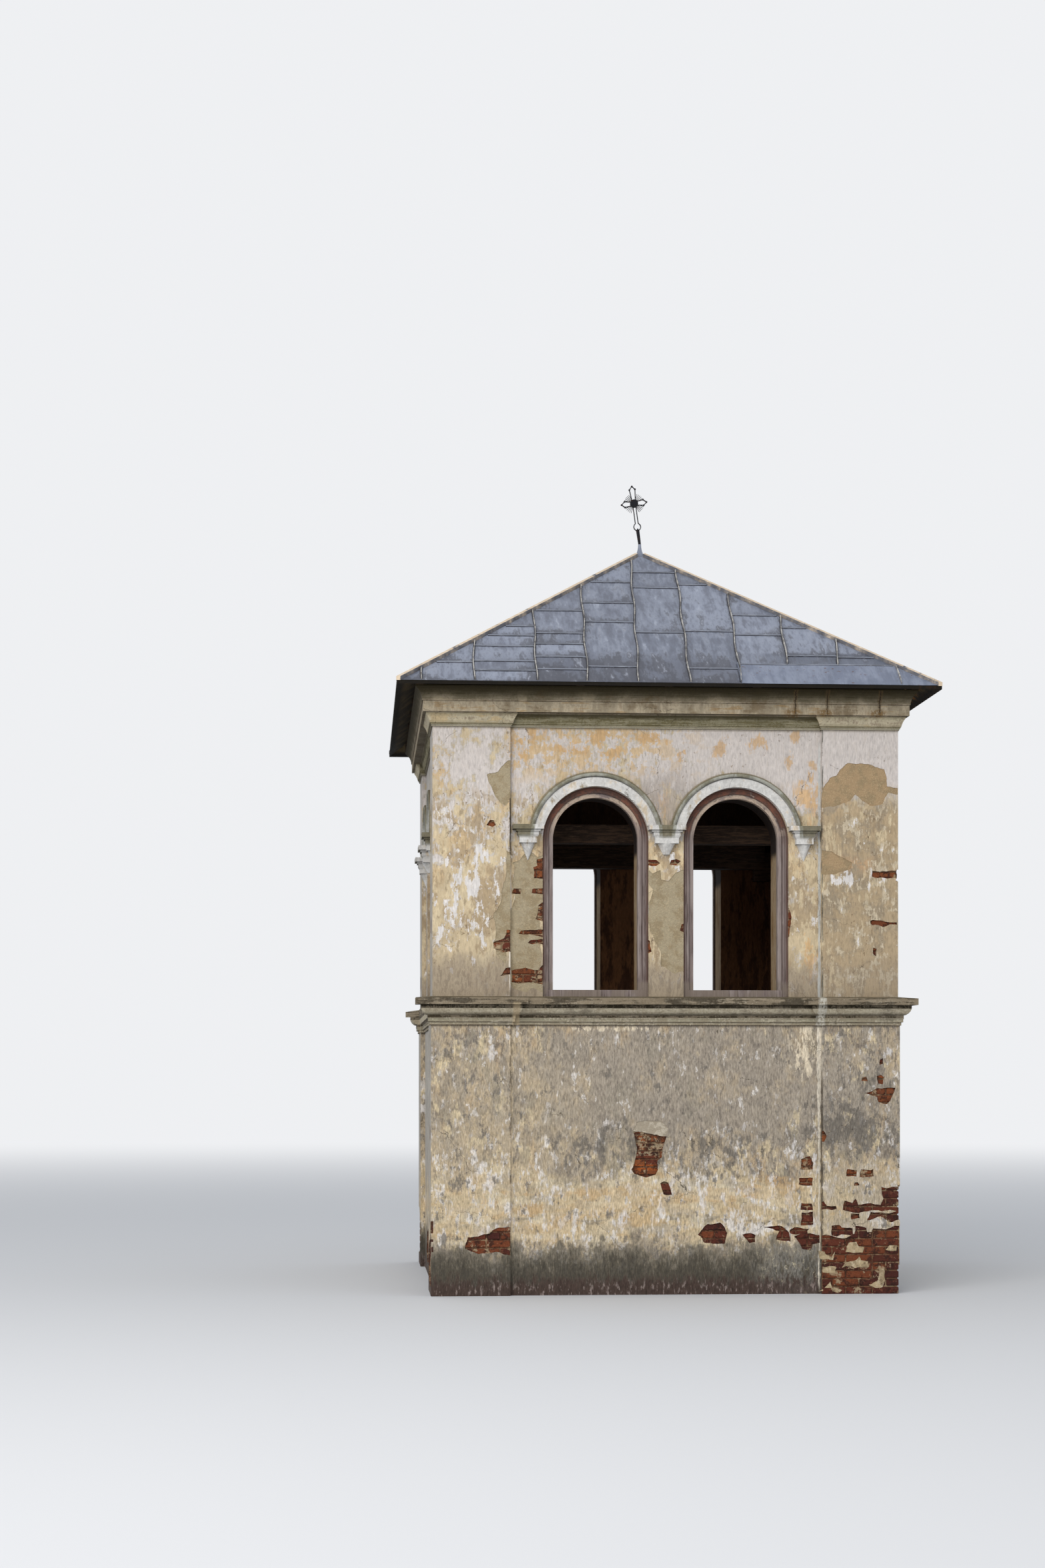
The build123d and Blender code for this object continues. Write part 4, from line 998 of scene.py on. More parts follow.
plasterIslands = {
    "front": [
        [(1.74, 0.41), (1.9, 0.405), (1.91, 0.45), (1.86, 0.46), (1.84, 0.5), (1.77, 0.49), (1.75, 0.46)],
        [(1.47, 0.34), (1.62, 0.335), (1.63, 0.41), (1.6, 0.365), (1.54, 0.375), (1.53, 0.41), (1.47, 0.415)],
        [(1.72, 0.268), (1.95, 0.262), (1.955, 0.315), (1.89, 0.32), (1.87, 0.36), (1.84, 0.32),
         (1.73, 0.31)],
        [(1.515, 0.2), (1.64, 0.205), (1.645, 0.255), (1.53, 0.26)],
        [(2.03, 0.06), (2.1, 0.05), (2.1, 0.25), (2.07, 0.24), (2.05, 0.14), (1.96, 0.09)],
        [(1.49, 0.02), (1.66, 0.01), (1.7, 0.045), (1.6, 0.06), (1.58, 0.12), (1.54, 0.07)],
        [(2.14, 0.42), (2.24, 0.41), (2.24, 0.47), (2.16, 0.465)],
    ],
    "right": [[(-2.1, 0.3), (-2.0, 0.28), (-1.98, 0.42), (-2.08, 0.44)]],
    "left": [[(1.9, 0.24), (2.05, 0.2), (2.08, 0.34), (1.94, 0.36)]],
    "back": [[(-2.1, 0.22), (-1.98, 0.2), (-1.96, 0.32), (-2.06, 0.34)]],
}
lowerPanelScrapes = {
    "front": [[(-0.33, 1.56), (-0.3, 1.66), (-0.2, 1.68), (-0.06, 1.67), (0.02, 1.6), (0.01, 1.52),
               (-0.3, 1.54)]],
}
lowerPanelPatches = {
    "front": [
        [(1.3, 1.2), (1.42, 1.2), (1.425, 1.26), (1.39, 1.33), (1.32, 1.3)],
        [(1.28, 1.05), (1.42, 1.045), (1.425, 1.115), (1.29, 1.12)],
        [(1.3, 0.81), (1.42, 0.81), (1.42, 0.87), (1.305, 0.872)],
        [(1.3, 0.66), (1.42, 0.665), (1.43, 0.79), (1.31, 0.79)],
        [(1.2, 0.58), (1.36, 0.58), (1.37, 0.625), (1.21, 0.63)],
        [(1.23, 0.55), (1.3, 0.49), (1.32, 0.43), (1.4, 0.42), (1.43, 0.48), (1.49, 0.49),
         (1.48, 0.57), (1.3, 0.575)],
        [(0.31, 0.58), (0.37, 0.5), (0.57, 0.49), (0.59, 0.6), (0.52, 0.69), (0.4, 0.67)],
        [(0.74, 0.575), (0.8, 0.495), (0.86, 0.5), (0.87, 0.57), (0.82, 0.59)],
        [(0.94, 0.64), (1.08, 0.61), (1.06, 0.52), (1.2, 0.5), (1.21, 0.6), (1.08, 0.665)],
        [(-0.31, 1.16), (-0.34, 1.2), (-0.31, 1.27), (-0.32, 1.57), (-0.25, 1.56), (0.0, 1.53),
         (-0.02, 1.41), (-0.04, 1.32), (-0.08, 1.29), (-0.08, 1.2), (-0.11, 1.15), (-0.2, 1.13)],
        [(-0.07, 1.07), (-0.02, 1.09), (0.02, 1.08), (0.05, 0.96), (-0.02, 0.96)],
    ],
    "right": [
        [(-1.2, 0.36), (-0.9, 0.3), (-0.6, 0.42), (-0.7, 0.58), (-1.0, 0.6)],
        [(0.5, 1.6), (0.72, 1.56), (0.76, 1.74), (0.56, 1.8)],
        [(1.2, 0.2), (1.52, 0.14), (1.52, 0.5), (1.3, 0.46)],
    ],
    "left": [
        [(-0.9, 0.2), (-0.5, 0.12), (0.1, 0.16), (0.3, 0.36), (-0.1, 0.52), (-0.7, 0.44)],
        [(0.9, 0.24), (1.3, 0.16), (1.52, 0.2), (1.52, 0.5), (1.1, 0.46)],
        [(-0.2, 1.9), (0.02, 1.86), (0.05, 2.02), (-0.14, 2.06)],
    ],
    "back": [
        [(-0.8, 0.3), (-0.4, 0.24), (-0.3, 0.42), (-0.6, 0.56)],
        [(0.6, 1.2), (0.84, 1.16), (0.9, 1.38), (0.7, 1.44)],
    ],
}
upperPierPatches = {
    "front": [
        [(-1.67, 3.32), (-1.6, 3.29), (-1.49, 3.3), (-1.49, 3.5), (-1.54, 3.5), (-1.56, 3.42), (-1.66, 3.38)],
        [(-1.6, 3.06), (-1.49, 3.07), (-1.49, 3.15), (-1.55, 3.13)],
        [(1.99, 4.02), (2.24, 4.015), (2.24, 4.08), (2.0, 4.09)],
        [(1.975, 3.6), (1.98, 3.56), (2.24, 3.55), (2.24, 3.58), (2.1, 3.6), (2.0, 3.61)],
        [(-1.735, 4.5), (-1.68, 4.48), (-1.64, 4.5), (-1.66, 4.545), (-1.7, 4.55)],
        [(2.0, 3.28), (2.03, 3.26), (2.04, 3.33), (2.01, 3.34)],
    ],
    "right": [
        [(-2.28, 4.0), (-2.05, 4.02), (-2.06, 4.1), (-2.28, 4.09)],
        [(1.7, 3.4), (1.86, 3.36), (1.9, 3.52), (1.76, 3.56)],
    ],
    "left": [
        [(1.75, 3.5), (1.9, 3.46), (1.94, 3.62), (1.8, 3.66)],
        [(-2.1, 3.1), (-1.9, 3.06), (-1.86, 3.2), (-2.02, 3.24)],
    ],
    "back": [
        [(1.6, 3.9), (1.76, 3.86), (1.8, 4.0), (1.66, 4.04)],
        [(-2.28, 3.3), (-2.1, 3.32), (-2.06, 3.48), (-2.28, 3.5)],
    ],
}
jamb = opening["farJamb"] - 0.01  # patches reach a little way over an edge
upperPanelPatches = {
    "front": [
        [(-1.48, 3.85), (-1.4, 3.845), (-1.4, 3.895), (-1.47, 3.9)],
        [(-1.3, 3.85), (-jamb, 3.84), (-jamb, 3.91), (-1.29, 3.895)],
        [(-1.27, 4.0), (-jamb, 3.99), (-jamb, 4.2), (-1.25, 4.18), (-1.24, 4.12), (-1.28, 4.1)],
        [(-1.42, 3.46), (-1.3, 3.45), (-jamb, 3.44), (-jamb, 3.51), (-1.28, 3.5), (-1.4, 3.5)],
        [(-1.33, 3.38), (-jamb, 3.36), (-jamb, 3.41), (-1.31, 3.41)],
        [(-1.5, 3.0), (-1.4, 2.98), (-1.28, 3.0), (-jamb, 2.98), (-jamb, 3.18), (-1.24, 3.12), (-1.36, 3.14),
         (-1.48, 3.11)],
        [(-1.26, 3.6), (-jamb, 3.58), (-jamb, 3.78), (-1.23, 3.74)],
        [(-0.19, 4.13), (-0.1, 4.12), (-0.06, 4.15), (-0.1, 4.18), (-0.19, 4.19)],
        [(0.035, 4.14), (0.1, 4.13), (0.14, 4.17), (0.1, 4.19), (0.05, 4.18)],
        [(-0.19, 3.27), (-0.16, 3.3), (-0.155, 3.4), (-0.19, 3.44)],
        [(0.14, 3.5), (0.19, 3.47), (0.19, 3.58), (0.15, 3.56)],
        [(1.16, 3.42), (1.2, 3.45), (1.21, 3.6), (1.2, 3.75), (1.16, 3.78)],
    ],
    "right": [
        [(-1.45, 3.2), (-1.3, 3.16), (-jamb, 3.18), (-jamb, 3.4), (-1.36, 3.38)],
        [(jamb, 3.7), (1.3, 3.72), (1.34, 3.86), (jamb, 3.9)],
    ],
    "left": [
        [(jamb, 3.1), (1.34, 3.08), (1.4, 3.26), (jamb, 3.34)],
        [(-0.19, 3.5), (-0.1, 3.52), (-0.08, 3.66), (-0.19, 3.7)],
    ],
    "back": [
        [(-1.4, 3.6), (-1.3, 3.56), (-jamb, 3.58), (-jamb, 3.74), (-1.34, 3.76)],
        [(jamb, 3.02), (1.36, 3.0), (1.4, 3.16), (jamb, 3.2)],
    ],
}
upperPierScrapes = {
    "front": [
        [(-1.49, 5.13), (-1.517, 5.11), (-1.625, 5.007), (-1.727, 4.974), (-1.721, 4.898), (-1.625, 4.733),
         (-1.561, 4.682), (-1.49, 4.74)],
        [(1.49, 4.8), (1.52, 4.86), (1.58, 4.98), (1.64, 5.0), (1.75, 5.126), (1.95, 5.12), (2.12, 5.06),
         (2.14, 4.9), (2.25, 4.88), (2.25, 4.82), (2.15, 4.84), (2.1, 4.73), (1.98, 4.7), (1.84, 4.83),
         (1.77, 4.76), (1.62, 4.7), (1.49, 4.69)],
        [(-1.49, 4.24), (-1.52, 4.24), (-1.58, 3.9), (-1.62, 3.7), (-1.68, 3.36), (-1.58, 3.2), (-1.49, 3.1)],
        [(1.49, 4.28), (1.56, 4.27), (1.8, 4.16), (1.78, 4.1), (1.62, 4.05), (1.49, 4.05)],
    ],
    "right": [[(-1.9, 4.6), (-1.7, 4.56), (-1.62, 4.86), (-1.8, 4.96), (-2.0, 4.84)]],
    "left": [[(1.64, 4.3), (1.9, 4.26), (2.0, 4.6), (1.8, 4.76), (1.6, 4.64)]],
    "back": [[(-2.0, 4.5), (-1.7, 4.46), (-1.62, 4.8), (-1.9, 4.9)]],
}
upperPanelScrapes = {
    "front": [
        [(-1.53, 4.12), (-1.42, 4.17), (-1.34, 4.26), (-1.24, 4.2), (-jamb, 4.22), (-jamb, 2.9),
         (-1.28, 2.94), (-1.36, 2.9), (-1.53, 2.94)],
        [(-0.19, 4.1), (-0.12, 4.05), (-0.06, 4.08), (-0.04, 3.99), (0.03, 3.98), (0.08, 4.06), (0.19, 4.11),
         (0.19, 3.13), (0.1, 3.09), (-0.02, 3.14), (-0.19, 3.14)],
    ],
    "right": [[(-0.19, 4.0), (0.02, 4.06), (0.19, 4.0), (0.19, 3.4), (0.0, 3.3), (-0.19, 3.42)]],
    "left": [[(jamb, 4.1), (1.36, 4.14), (1.53, 4.0), (1.53, 3.4), (1.32, 3.3), (jamb, 3.4)]],
    "back": [[(-0.19, 3.8), (0.04, 3.86), (0.19, 3.8), (0.19, 3.1), (-0.04, 3.0), (-0.19, 3.1)]],
}


def raggedOutline(bm, outline, level, seed, ragged):
    # the outline's edges broken up again and again, then laid flat and filled
    corners = [bm.verts.new((x, level, z)) for x, z in outline]
    rim = [bm.edges.new(pair) for pair in zip(corners, corners[1:] + corners[:1])]
    for turn in range(fallen["turns"]):
        long = [edge for edge in rim if edge.calc_length() > fallen["longest"]]
        if long:
            cut = bmesh.ops.subdivide_edges(bm, edges=long, cuts=1, fractal=ragged, along_normal=0,
                                            seed=seed + turn)
            cutEdges = [item for item in cut["geom"] if isinstance(item, bmesh.types.BMEdge)]
            rim = [edge for edge in rim if edge not in long] + cutEdges
    verts = list({vert for edge in rim for vert in edge.verts})
    bmesh.ops.translate(bm, vec=(0, -level, 0), verts=verts)
    bmesh.ops.scale(bm, vec=(1, 0, 1), verts=verts)
    bmesh.ops.translate(bm, vec=(0, level, 0), verts=verts)
    return verts, bmesh.ops.contextual_create(bm, geom=rim)["faces"]


def raggedPrism(bm, outline, near, far, side, seed, ragged=fallen["ragged"]):
    # from one depth to another, drawn back into the wall
    verts, face = raggedOutline(bm, outline, near, seed, ragged)
    moved = newVerts(bmesh.ops.extrude_face_region(bm, geom=face, use_keep_orig=True))
    bmesh.ops.translate(bm, vec=(0, far - near, 0), verts=moved)
    turnTo(bm, verts + moved, side)


# The corners of the right and left sides, as the front and the back count them
cornerTwins = {("right", -1): ("front", 1), ("right", 1): ("back", -1),
               ("left", 1): ("front", -1), ("left", -1): ("back", 1)}


class Masonry:
    # the brickwork of one wall, each brick laid once however many patches show it
    def __init__(self, face, spans, seed):
        self.face = face
        self.spans = spans
        self.rng = random.Random(seed)
        self.laid = set()
        self.bm = bmesh.new()
        self.layer = self.bm.faces.layers.float.new("tone")

    def brick(self, side, xFrom, xTo, course, deep):
        back = -self.face + brickwork["behind"] + self.rng.uniform(-1, 1) * brickwork["uneven"]
        under = course * brickwork["course"] + brickwork["bed"]
        verts = box(self.bm, (xFrom, back, under), (xTo, back + deep, under + brickwork["height"]),
                    brickwork["ease"])
        tilt = Matrix.Rotation(self.rng.uniform(-1, 1) * brickwork["tilt"], 3, "Z")
        bmesh.ops.rotate(self.bm, verts=verts, cent=((xFrom + xTo) / 2, back, 0), matrix=tilt)
        own = self.rng.random()
        for face in {face for vert in verts for face in vert.link_faces}:
            face[self.layer] = own
        turnTo(self.bm, verts, side)

    def layCourse(self, side, span, course, shown):
        # one course in one span, from its outer corner inwards, where it is shown
        low, high, corner = span
        first = brickwork["stretcher"] if course % 2 == 0 else brickwork["header"]
        bond = brickwork["stretcher"] + brickwork["header"] - first
        twin = cornerTwins.get((side, corner))
        inset = brickwork["behind"] * abs(corner)
        if twin and shown[0] < bond and (twin, course) not in self.laid:
            self.laid.add((twin, course))
            ends = sorted((twin[1] * (self.face - inset), twin[1] * (self.face - inset - first)))
            self.brick(twin[0], ends[0], ends[1], course, bond)
        place = inset + (bond + brickwork["joint"] if twin else 0)
        reach = high - low - brickwork["endGap"]
        step = 0
        while place < min(shown[1], reach - brickwork["shortest"]):
            whole = first if step == 0 and not twin else brickwork["stretcher"]
            if course % brickwork["headersEvery"] == brickwork["headersEvery"] - 1:
                whole = brickwork["header"]
            end = min(place + whole, reach)
            outer = corner and step == 0 and not twin
            key = ((side, corner), course) if outer else (side, low, course, step)
            if end > shown[0] and key not in self.laid:
                self.laid.add(key)
                ends = (high - end, high - place) if corner > 0 else (low + place, low + end)
                self.brick(side, ends[0], ends[1], course, bond if outer else brickwork["shallow"])
            place = end + brickwork["joint"]
            step += 1

    def show(self, side, outline):
        # the courses behind one patch, in the span that it lies in
        xs = [x for x, z in outline]
        zs = [z for x, z in outline]
        middle = (min(xs) + max(xs)) / 2
        span = min(self.spans, key=lambda each: max(each[0] - middle, middle - each[1]))
        low, high, corner = span
        shown = (high - max(xs), high - min(xs)) if corner > 0 else (min(xs) - low, max(xs) - low)
        lowest = max(0, int(min(zs) / brickwork["course"]))
        for course in range(lowest, int(max(zs) / brickwork["course"]) + 1):
            self.layCourse(side, span, course, shown)


def cutWith(piece, cutter):
    # the cutter's shape taken out of a piece, which gets the cutter's material where it is cut
    bite = piece.modifiers.new("fallenPlaster", "BOOLEAN")
    bite.operation = "DIFFERENCE"
    bite.solver = "EXACT"
    bite.use_self = True
    bite.material_mode = "TRANSFER"
    bite.object = cutter
    depsgraph = bpy.context.evaluated_depsgraph_get()
    mesh = bpy.data.meshes.new_from_object(piece.evaluated_get(depsgraph))
    piece.modifiers.clear()
    piece.data = mesh
    bpy.data.objects.remove(cutter)


def cutterPiece(bm, material):
    mesh = bpy.data.meshes.new("cutter")
    bmesh.ops.recalc_face_normals(bm, faces=bm.faces)
    bm.to_mesh(mesh)
    bm.free()
    mesh.materials.append(material)
    cutter = bpy.data.objects.new("cutter", mesh)
    bpy.context.scene.collection.objects.link(cutter)
    return cutter


def peelWall(node, name, material, slot, face, scrapes, patches, masonry, seed, sides=sideTurns):
    # a copy of the frame's wall with scraped limewash, fallen plaster and the brickwork behind it
    bm = bmesh.new()
    bm.from_mesh(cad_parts[node].data)
    bmesh.ops.remove_doubles(bm, verts=bm.verts, dist=fallen["weld"])
    bmesh.ops.dissolve_limit(bm, angle_limit=fallen["flat"], verts=bm.verts, edges=bm.edges)
    piece = addPiece(bm, name, [material], [node])
    for group, depth, bottom in ((scrapes, fallen["renderDepth"], renderMaterial),
                                 (patches, fallen["brickDepth"], mortarMaterial)):
        bm = bmesh.new()
        for side in [side for side in group if side in sides]:
            for index, outline in enumerate(group[side]):
                raggedPrism(bm, outline, -face - fallen["reachOut"], -face + depth, side, seed + 10 * index)
        if bm.verts:
            cutWith(piece, cutterPiece(bm, bottom))
    for side in [side for side in patches if side in sides]:
        for outline in patches[side]:
            masonry.show(side, outline)


def peelStorey(storey, material, slot, face, panel, pierWork, panelWork, panelSpans, seed):
    # the corner piers as one piece, then the panel of each side
    piers = Masonry(face, [(-face, -pierInner, -1), (pierInner, face, 1)], seed)
    peelWall(storey + "_corner_piers", storey + "Piers", material, slot, face, *pierWork, piers, seed)
    addPiece(piers.bm, storey + "PierBricks", [brickMaterial])
    panels = Masonry(panel, panelSpans, seed + 1)
    for number, side in enumerate(sideTurns):
        peelWall("%s_%s_wall" % (storey, side), storey + side.capitalize() + "Panel", material, slot, panel,
                 *panelWork, panels, seed + 40 * number, [side])
    addPiece(panels.bm, storey + "PanelBricks", [brickMaterial])


# A span is where brickwork runs: its two ends, and at which of them it turns a corner
wholePanel = [(-pierInner, pierInner, 0)]
besideOpenings = [(-pierInner, -opening["farJamb"], 0), (-opening["nearJamb"], opening["nearJamb"], 0),
                  (opening["farJamb"], pierInner, 0)]
peelStorey("lower", lowerMaterial, "lower_limewash", lowerFace, lowerPanel, ({}, lowerPierPatches),
           (lowerPanelScrapes, lowerPanelPatches), wholePanel, 3)
peelStorey("upper", upperMaterial, "upper_limewash", upperFace, upperPanel,
           (upperPierScrapes, upperPierPatches), (upperPanelScrapes, upperPanelPatches), besideOpenings, 7)

bm = bmesh.new()
for side, outlines in plasterIslands.items():
    for index, outline in enumerate(outlines):
        raggedPrism(bm, outline, -lowerFace + fallen["islandBack"], -lowerFace + fallen["brickDepth"], side,
                    index, fallen["islandRagged"])
bmesh.ops.recalc_face_normals(bm, faces=bm.faces)
addPiece(bm, "plasterRemnants", [remnantMaterial])
print("plaster fallen and bricks laid")


# The roof as one flat slope per side, x along the eave and y up the slope, turned into place at the end
roof = {
    "pitch": 34.4, "sheet": 0.003, "spacing": 0.022, "tuck": 0.011, "drip": 0.034, "hipHalf": 0.026,
    "lift": 0.0012, "dent": 0.005, "waves": ((2.1, 1.5, 1.0), (5, 4, 0.35)), "dripWave": (4, 0.15),
    "soilAbove": 0.08, "soilBeside": 0.035, "seamsApart": 0.488,
}
# A seam's folded section and its flanges, how it sways, and how near it comes to eave and apex
seamShape = {
    "wide": 0.009, "tall": 0.026, "flange": 0.007, "sunk": 0.003, "crease": 0.003, "lip": 0.0015,
    "step": 0.07, "sway": 0.009, "start": 0.034, "belowApex": 0.09, "shortest": 0.05,
}
# A welt's flat top, the skirt on both sides of it and how deep its edge is buried
foldShape = {
    "wide": 0.026, "tall": 0.006, "skirt": 0.006, "above": 0.001, "sunk": 0.006, "step": 0.1,
    "gap": 0.008, "shortest": 0.05,
}
# Where the newer sheet lies, and which seams start from it
newerSheetSize = {
    "from": 0.667, "top": 0.44, "gap": 0.008, "lift": 0.0035, "below": 0.002, "ripple": 0.012,
    "lean": 0.05, "foldFrom": 0.02, "firstSeam": 0.767, "lastSeam": 2.1,
}
pitch = math.radians(roof["pitch"])
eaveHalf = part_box("roof_sheet_front")[1].x
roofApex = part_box("roof_boarding")[1].z + roof["sheet"] / math.cos(pitch)
eaveLevel = roofApex - eaveHalf * math.tan(pitch)
slopeLength = eaveHalf / math.cos(pitch)

# Seams by their foot and head along the eave, and the welts up the slope in each bay from the left
frontSeams = [(-2.357, -2.353), (-1.867, -1.835), (-1.278, -1.21), (-0.795, -0.685), (-0.308, -0.112),
              (0.179, 0.338), (0.667, 0.808), (1.13, 1.266), (1.63, 1.731), (2.2, 2.23)]
frontFolds = [[], [0.417], [1.271, 1.045, 0.797, 0.449, 0.237], [1.657, 1.107, 0.857, 0.559, 0.276],
              [2.394, 1.863, 1.396, 0.35], [2.663, 2.267, 1.157], [2.352, 1.198, 0.333], [1.602, 1.123],
              [1.301, 0.646], [0.618], []]
evenSeams = [(roof["seamsApart"] * index, roof["seamsApart"] * index) for index in range(-5, 6)]
sideFolds = [[], [0.3], [0.52], [0.35, 0.95], [0.4, 1.25], [0.8, 1.6], [0.45, 1.45, 2.4], [0.9, 1.8],
             [0.38, 1.2], [0.6], [0.3], []]


def dent(x, up, seed):
    # the sheet's gentle waves, broad ones and finer ones, always outwards
    wave = sum(much * noise.noise(Vector((x * along, up * upwards, seed)))
               for along, upwards, much in roof["waves"])
    return roof["lift"] + roof["dent"] * (0.5 + 0.5 * max(-1.0, min(1.0, wave)))


def seamPlace(seam, up):
    # where a seam has got to at a height up the slope
    foot, head = seam
    headUp = (eaveHalf - abs(head)) / math.cos(pitch)
    return foot + (head - foot) / headUp * up + seamShape["sway"] * math.sin(up * 6 + foot * 9)


def ontoSlope(bm, verts, side, seed):
    for vert in verts:
        vert.co.z += dent(vert.co.x, vert.co.y, seed)
    bmesh.ops.rotate(bm, verts=verts, cent=(0, 0, 0), matrix=Matrix.Rotation(pitch, 3, "X"))
    bmesh.ops.translate(bm, vec=(0, -eaveHalf, eaveLevel), verts=verts)
    turnTo(bm, verts, side)


def cutAtHips(bm):
    for sign in (-1, 1):
        normal = Vector((sign * slopeLength, eaveHalf, 0)).normalized()
        bmesh.ops.bisect_plane(bm, geom=list(bm.verts) + list(bm.edges) + list(bm.faces),
                               plane_co=(sign * eaveHalf, 0, 0), plane_no=normal, clear_outer=True)


def turnDownEave(bm, seed):
    # the edge along the eave folded down in a wavy drip
    often, much = roof["dripWave"]
    eave = [edge for edge in bm.edges if edge.is_boundary
            and all(abs(vert.co.y - roof["tuck"]) < 1e-5 for vert in edge.verts)]
    for vert in newVerts(bmesh.ops.extrude_edge_only(bm, edges=eave)):
        deep = roof["drip"] * (1 - much + much * noise.noise(Vector((vert.co.x * often, seed, 0))))
        vert.co.y -= math.sin(pitch) * deep
        vert.co.z -= math.cos(pitch) * deep
        for face in vert.link_faces:
            face.material_index = 1


def flatSheet(bm, xFrom, xTo, upFrom, upTo):
    # a fine grid over part of a slope
    made = bmesh.ops.create_grid(bm, x_segments=int((xTo - xFrom) / roof["spacing"]),
                                 y_segments=int((upTo - upFrom) / roof["spacing"]), size=0.5)
    bmesh.ops.scale(bm, vec=(xTo - xFrom, upTo - upFrom, 1), verts=made["verts"])
    bmesh.ops.translate(bm, vec=((xFrom + xTo) / 2, (upFrom + upTo) / 2, 0), verts=made["verts"])


def roofSheet(bm, side, seams, folds, seed):
    # one slope of sheet: each tray has a tone of its own, and soil gathers above welts and beside seams
    flatSheet(bm, -eaveHalf, eaveHalf, roof["tuck"], slopeLength)
    cutAtHips(bm)
    turnDownEave(bm, seed)
    layer = bm.faces.layers.float.new("tone")
    soil = bm.faces.layers.float.new("soil")
    rng = random.Random(int(seed * 10))
    trays = {}
    for face in bm.faces:
        middle = face.calc_center_median()
        bay = sum(1 for seam in seams if seamPlace(seam, middle.y) < middle.x)
        under = [up for up in folds[bay] if up < middle.y]
        aside = min(abs(seamPlace(seam, middle.y) - middle.x) for seam in seams)
        tray = (bay, len(under))
        if tray not in trays:
            trays[tray] = rng.random()
        face[layer] = trays[tray]
        rise = middle.y - max(under, default=roof["tuck"])
        face[soil] = max(math.exp(-rise / roof["soilAbove"]), 0.8 * math.exp(-aside / roof["soilBeside"]))
    ontoSlope(bm, list(bm.verts), side, seed)


def addSeam(bm, seam, upFrom, upTo, side, seed):
    # a standing seam with flanges dark from dirt and painted shade: a folded section drawn up the slope,
    # wandering as it goes
    half, tall = seamShape["wide"] / 2, seamShape["tall"]
    outer, sunk = half + seamShape["flange"], seamShape["sunk"]
    lip, crease = seamShape["lip"], seamShape["crease"]
    section = [(-outer, -sunk), (-outer, lip), (-half, crease), (-half, tall * 0.85), (-half / 2, tall),
               (half / 2, tall), (half, tall * 0.85), (half, crease), (outer, lip), (outer, -sunk)]
    start = [bm.verts.new((seamPlace(seam, upFrom) + x, upFrom, z)) for x, z in section]
    loop = [bm.edges.new(pair) for pair in zip(start, start[1:] + start[:1])]
    foot = list(loop)
    verts = list(start)
    steps = max(3, int((upTo - upFrom) / seamShape["step"]))
    for step in range(steps):
        before = upFrom + (upTo - upFrom) * step / steps
        up = upFrom + (upTo - upFrom) * (step + 1) / steps
        grown = bmesh.ops.extrude_edge_only(bm, edges=loop)
        moved = newVerts(grown)
        loop = [edge for edge in newEdges(grown) if all(vert in moved for vert in edge.verts)]
        aside = seamPlace(seam, up) - seamPlace(seam, before)
        bmesh.ops.translate(bm, vec=(aside, up - before, 0), verts=moved)
        verts += moved
    bmesh.ops.contextual_create(bm, geom=foot)
    bmesh.ops.contextual_create(bm, geom=loop)
    faces = list({face for vert in verts for face in vert.link_faces})
    bmesh.ops.recalc_face_normals(bm, faces=faces)
    for face in faces:
        face.material_index = 2 if max(vert.co.z for vert in face.verts) < crease + 0.001 else 0
    ontoSlope(bm, verts, side, seed)


def addFold(bm, xFrom, xTo, up, side, seed):
    # a flat welt across one bay with a dark line of dirt and painted shade along both of its edges
    steps = max(2, int((xTo - xFrom) / foldShape["step"]))
    verts = bmesh.ops.create_grid(bm, x_segments=steps, y_segments=1, size=0.5)["verts"]
    bmesh.ops.scale(bm, vec=(xTo - xFrom, foldShape["wide"], 1), verts=verts)
    bmesh.ops.translate(bm, vec=((xFrom + xTo) / 2, up, foldShape["tall"]), verts=verts)
    top = {face for vert in verts for face in vert.link_faces}
    rim = [edge for edge in {edge for vert in verts for edge in vert.link_edges} if edge.is_boundary]
    skirt = newVerts(bmesh.ops.extrude_edge_only(bm, edges=rim))
    for vert in skirt:
        vert.co.y += foldShape["skirt"] * (1 if vert.co.y > up else -1)
        vert.co.z -= foldShape["tall"] - foldShape["above"]
    sunk = [edge for edge in {edge for vert in skirt for edge in vert.link_edges} if edge.is_boundary]
    buried = newVerts(bmesh.ops.extrude_edge_only(bm, edges=sunk))
    bmesh.ops.translate(bm, vec=(0, 0, -foldShape["sunk"]), verts=buried)
    for face in {face for vert in verts + skirt + buried for face in vert.link_faces}:
        face.material_index = 1 if face in top else 2
    ontoSlope(bm, verts + skirt + buried, side, seed)


def addSeams(bm, side, seams, seed, patched):
    # every seam of a slope, from the eave or from the newer sheet to the hip or nearly to the apex
    reach = roof["hipHalf"] * math.sqrt(2)
    for foot, head in seams:
        hipUp = (eaveHalf - abs(head) - reach) / math.cos(pitch)
        headUp = min(hipUp, slopeLength - seamShape["belowApex"])
        overPatch = patched and newerSheetSize["firstSeam"] < foot < newerSheetSize["lastSeam"]
        footUp = newerSheetSize["top"] if overPatch else seamShape["start"]
        if headUp > footUp + seamShape["shortest"]:
            addSeam(bm, (foot, head), footUp, headUp, side, seed)


def addFolds(bm, side, seams, folds, seed):
    # the welts of each bay, from seam to seam or to the hip
    reach = roof["hipHalf"] * math.sqrt(2)
    for bay, ups in enumerate(folds):
        for up in ups:
            edge = eaveHalf - up * math.cos(pitch) - reach
            left = seamPlace(seams[bay - 1], up) if bay > 0 else -edge
            right = seamPlace(seams[bay], up) if bay < len(seams) else edge
            left, right = max(left, -edge) + foldShape["gap"], min(right, edge) - foldShape["gap"]
            if right - left > foldShape["shortest"]:
                addFold(bm, left, right, up, side, seed)


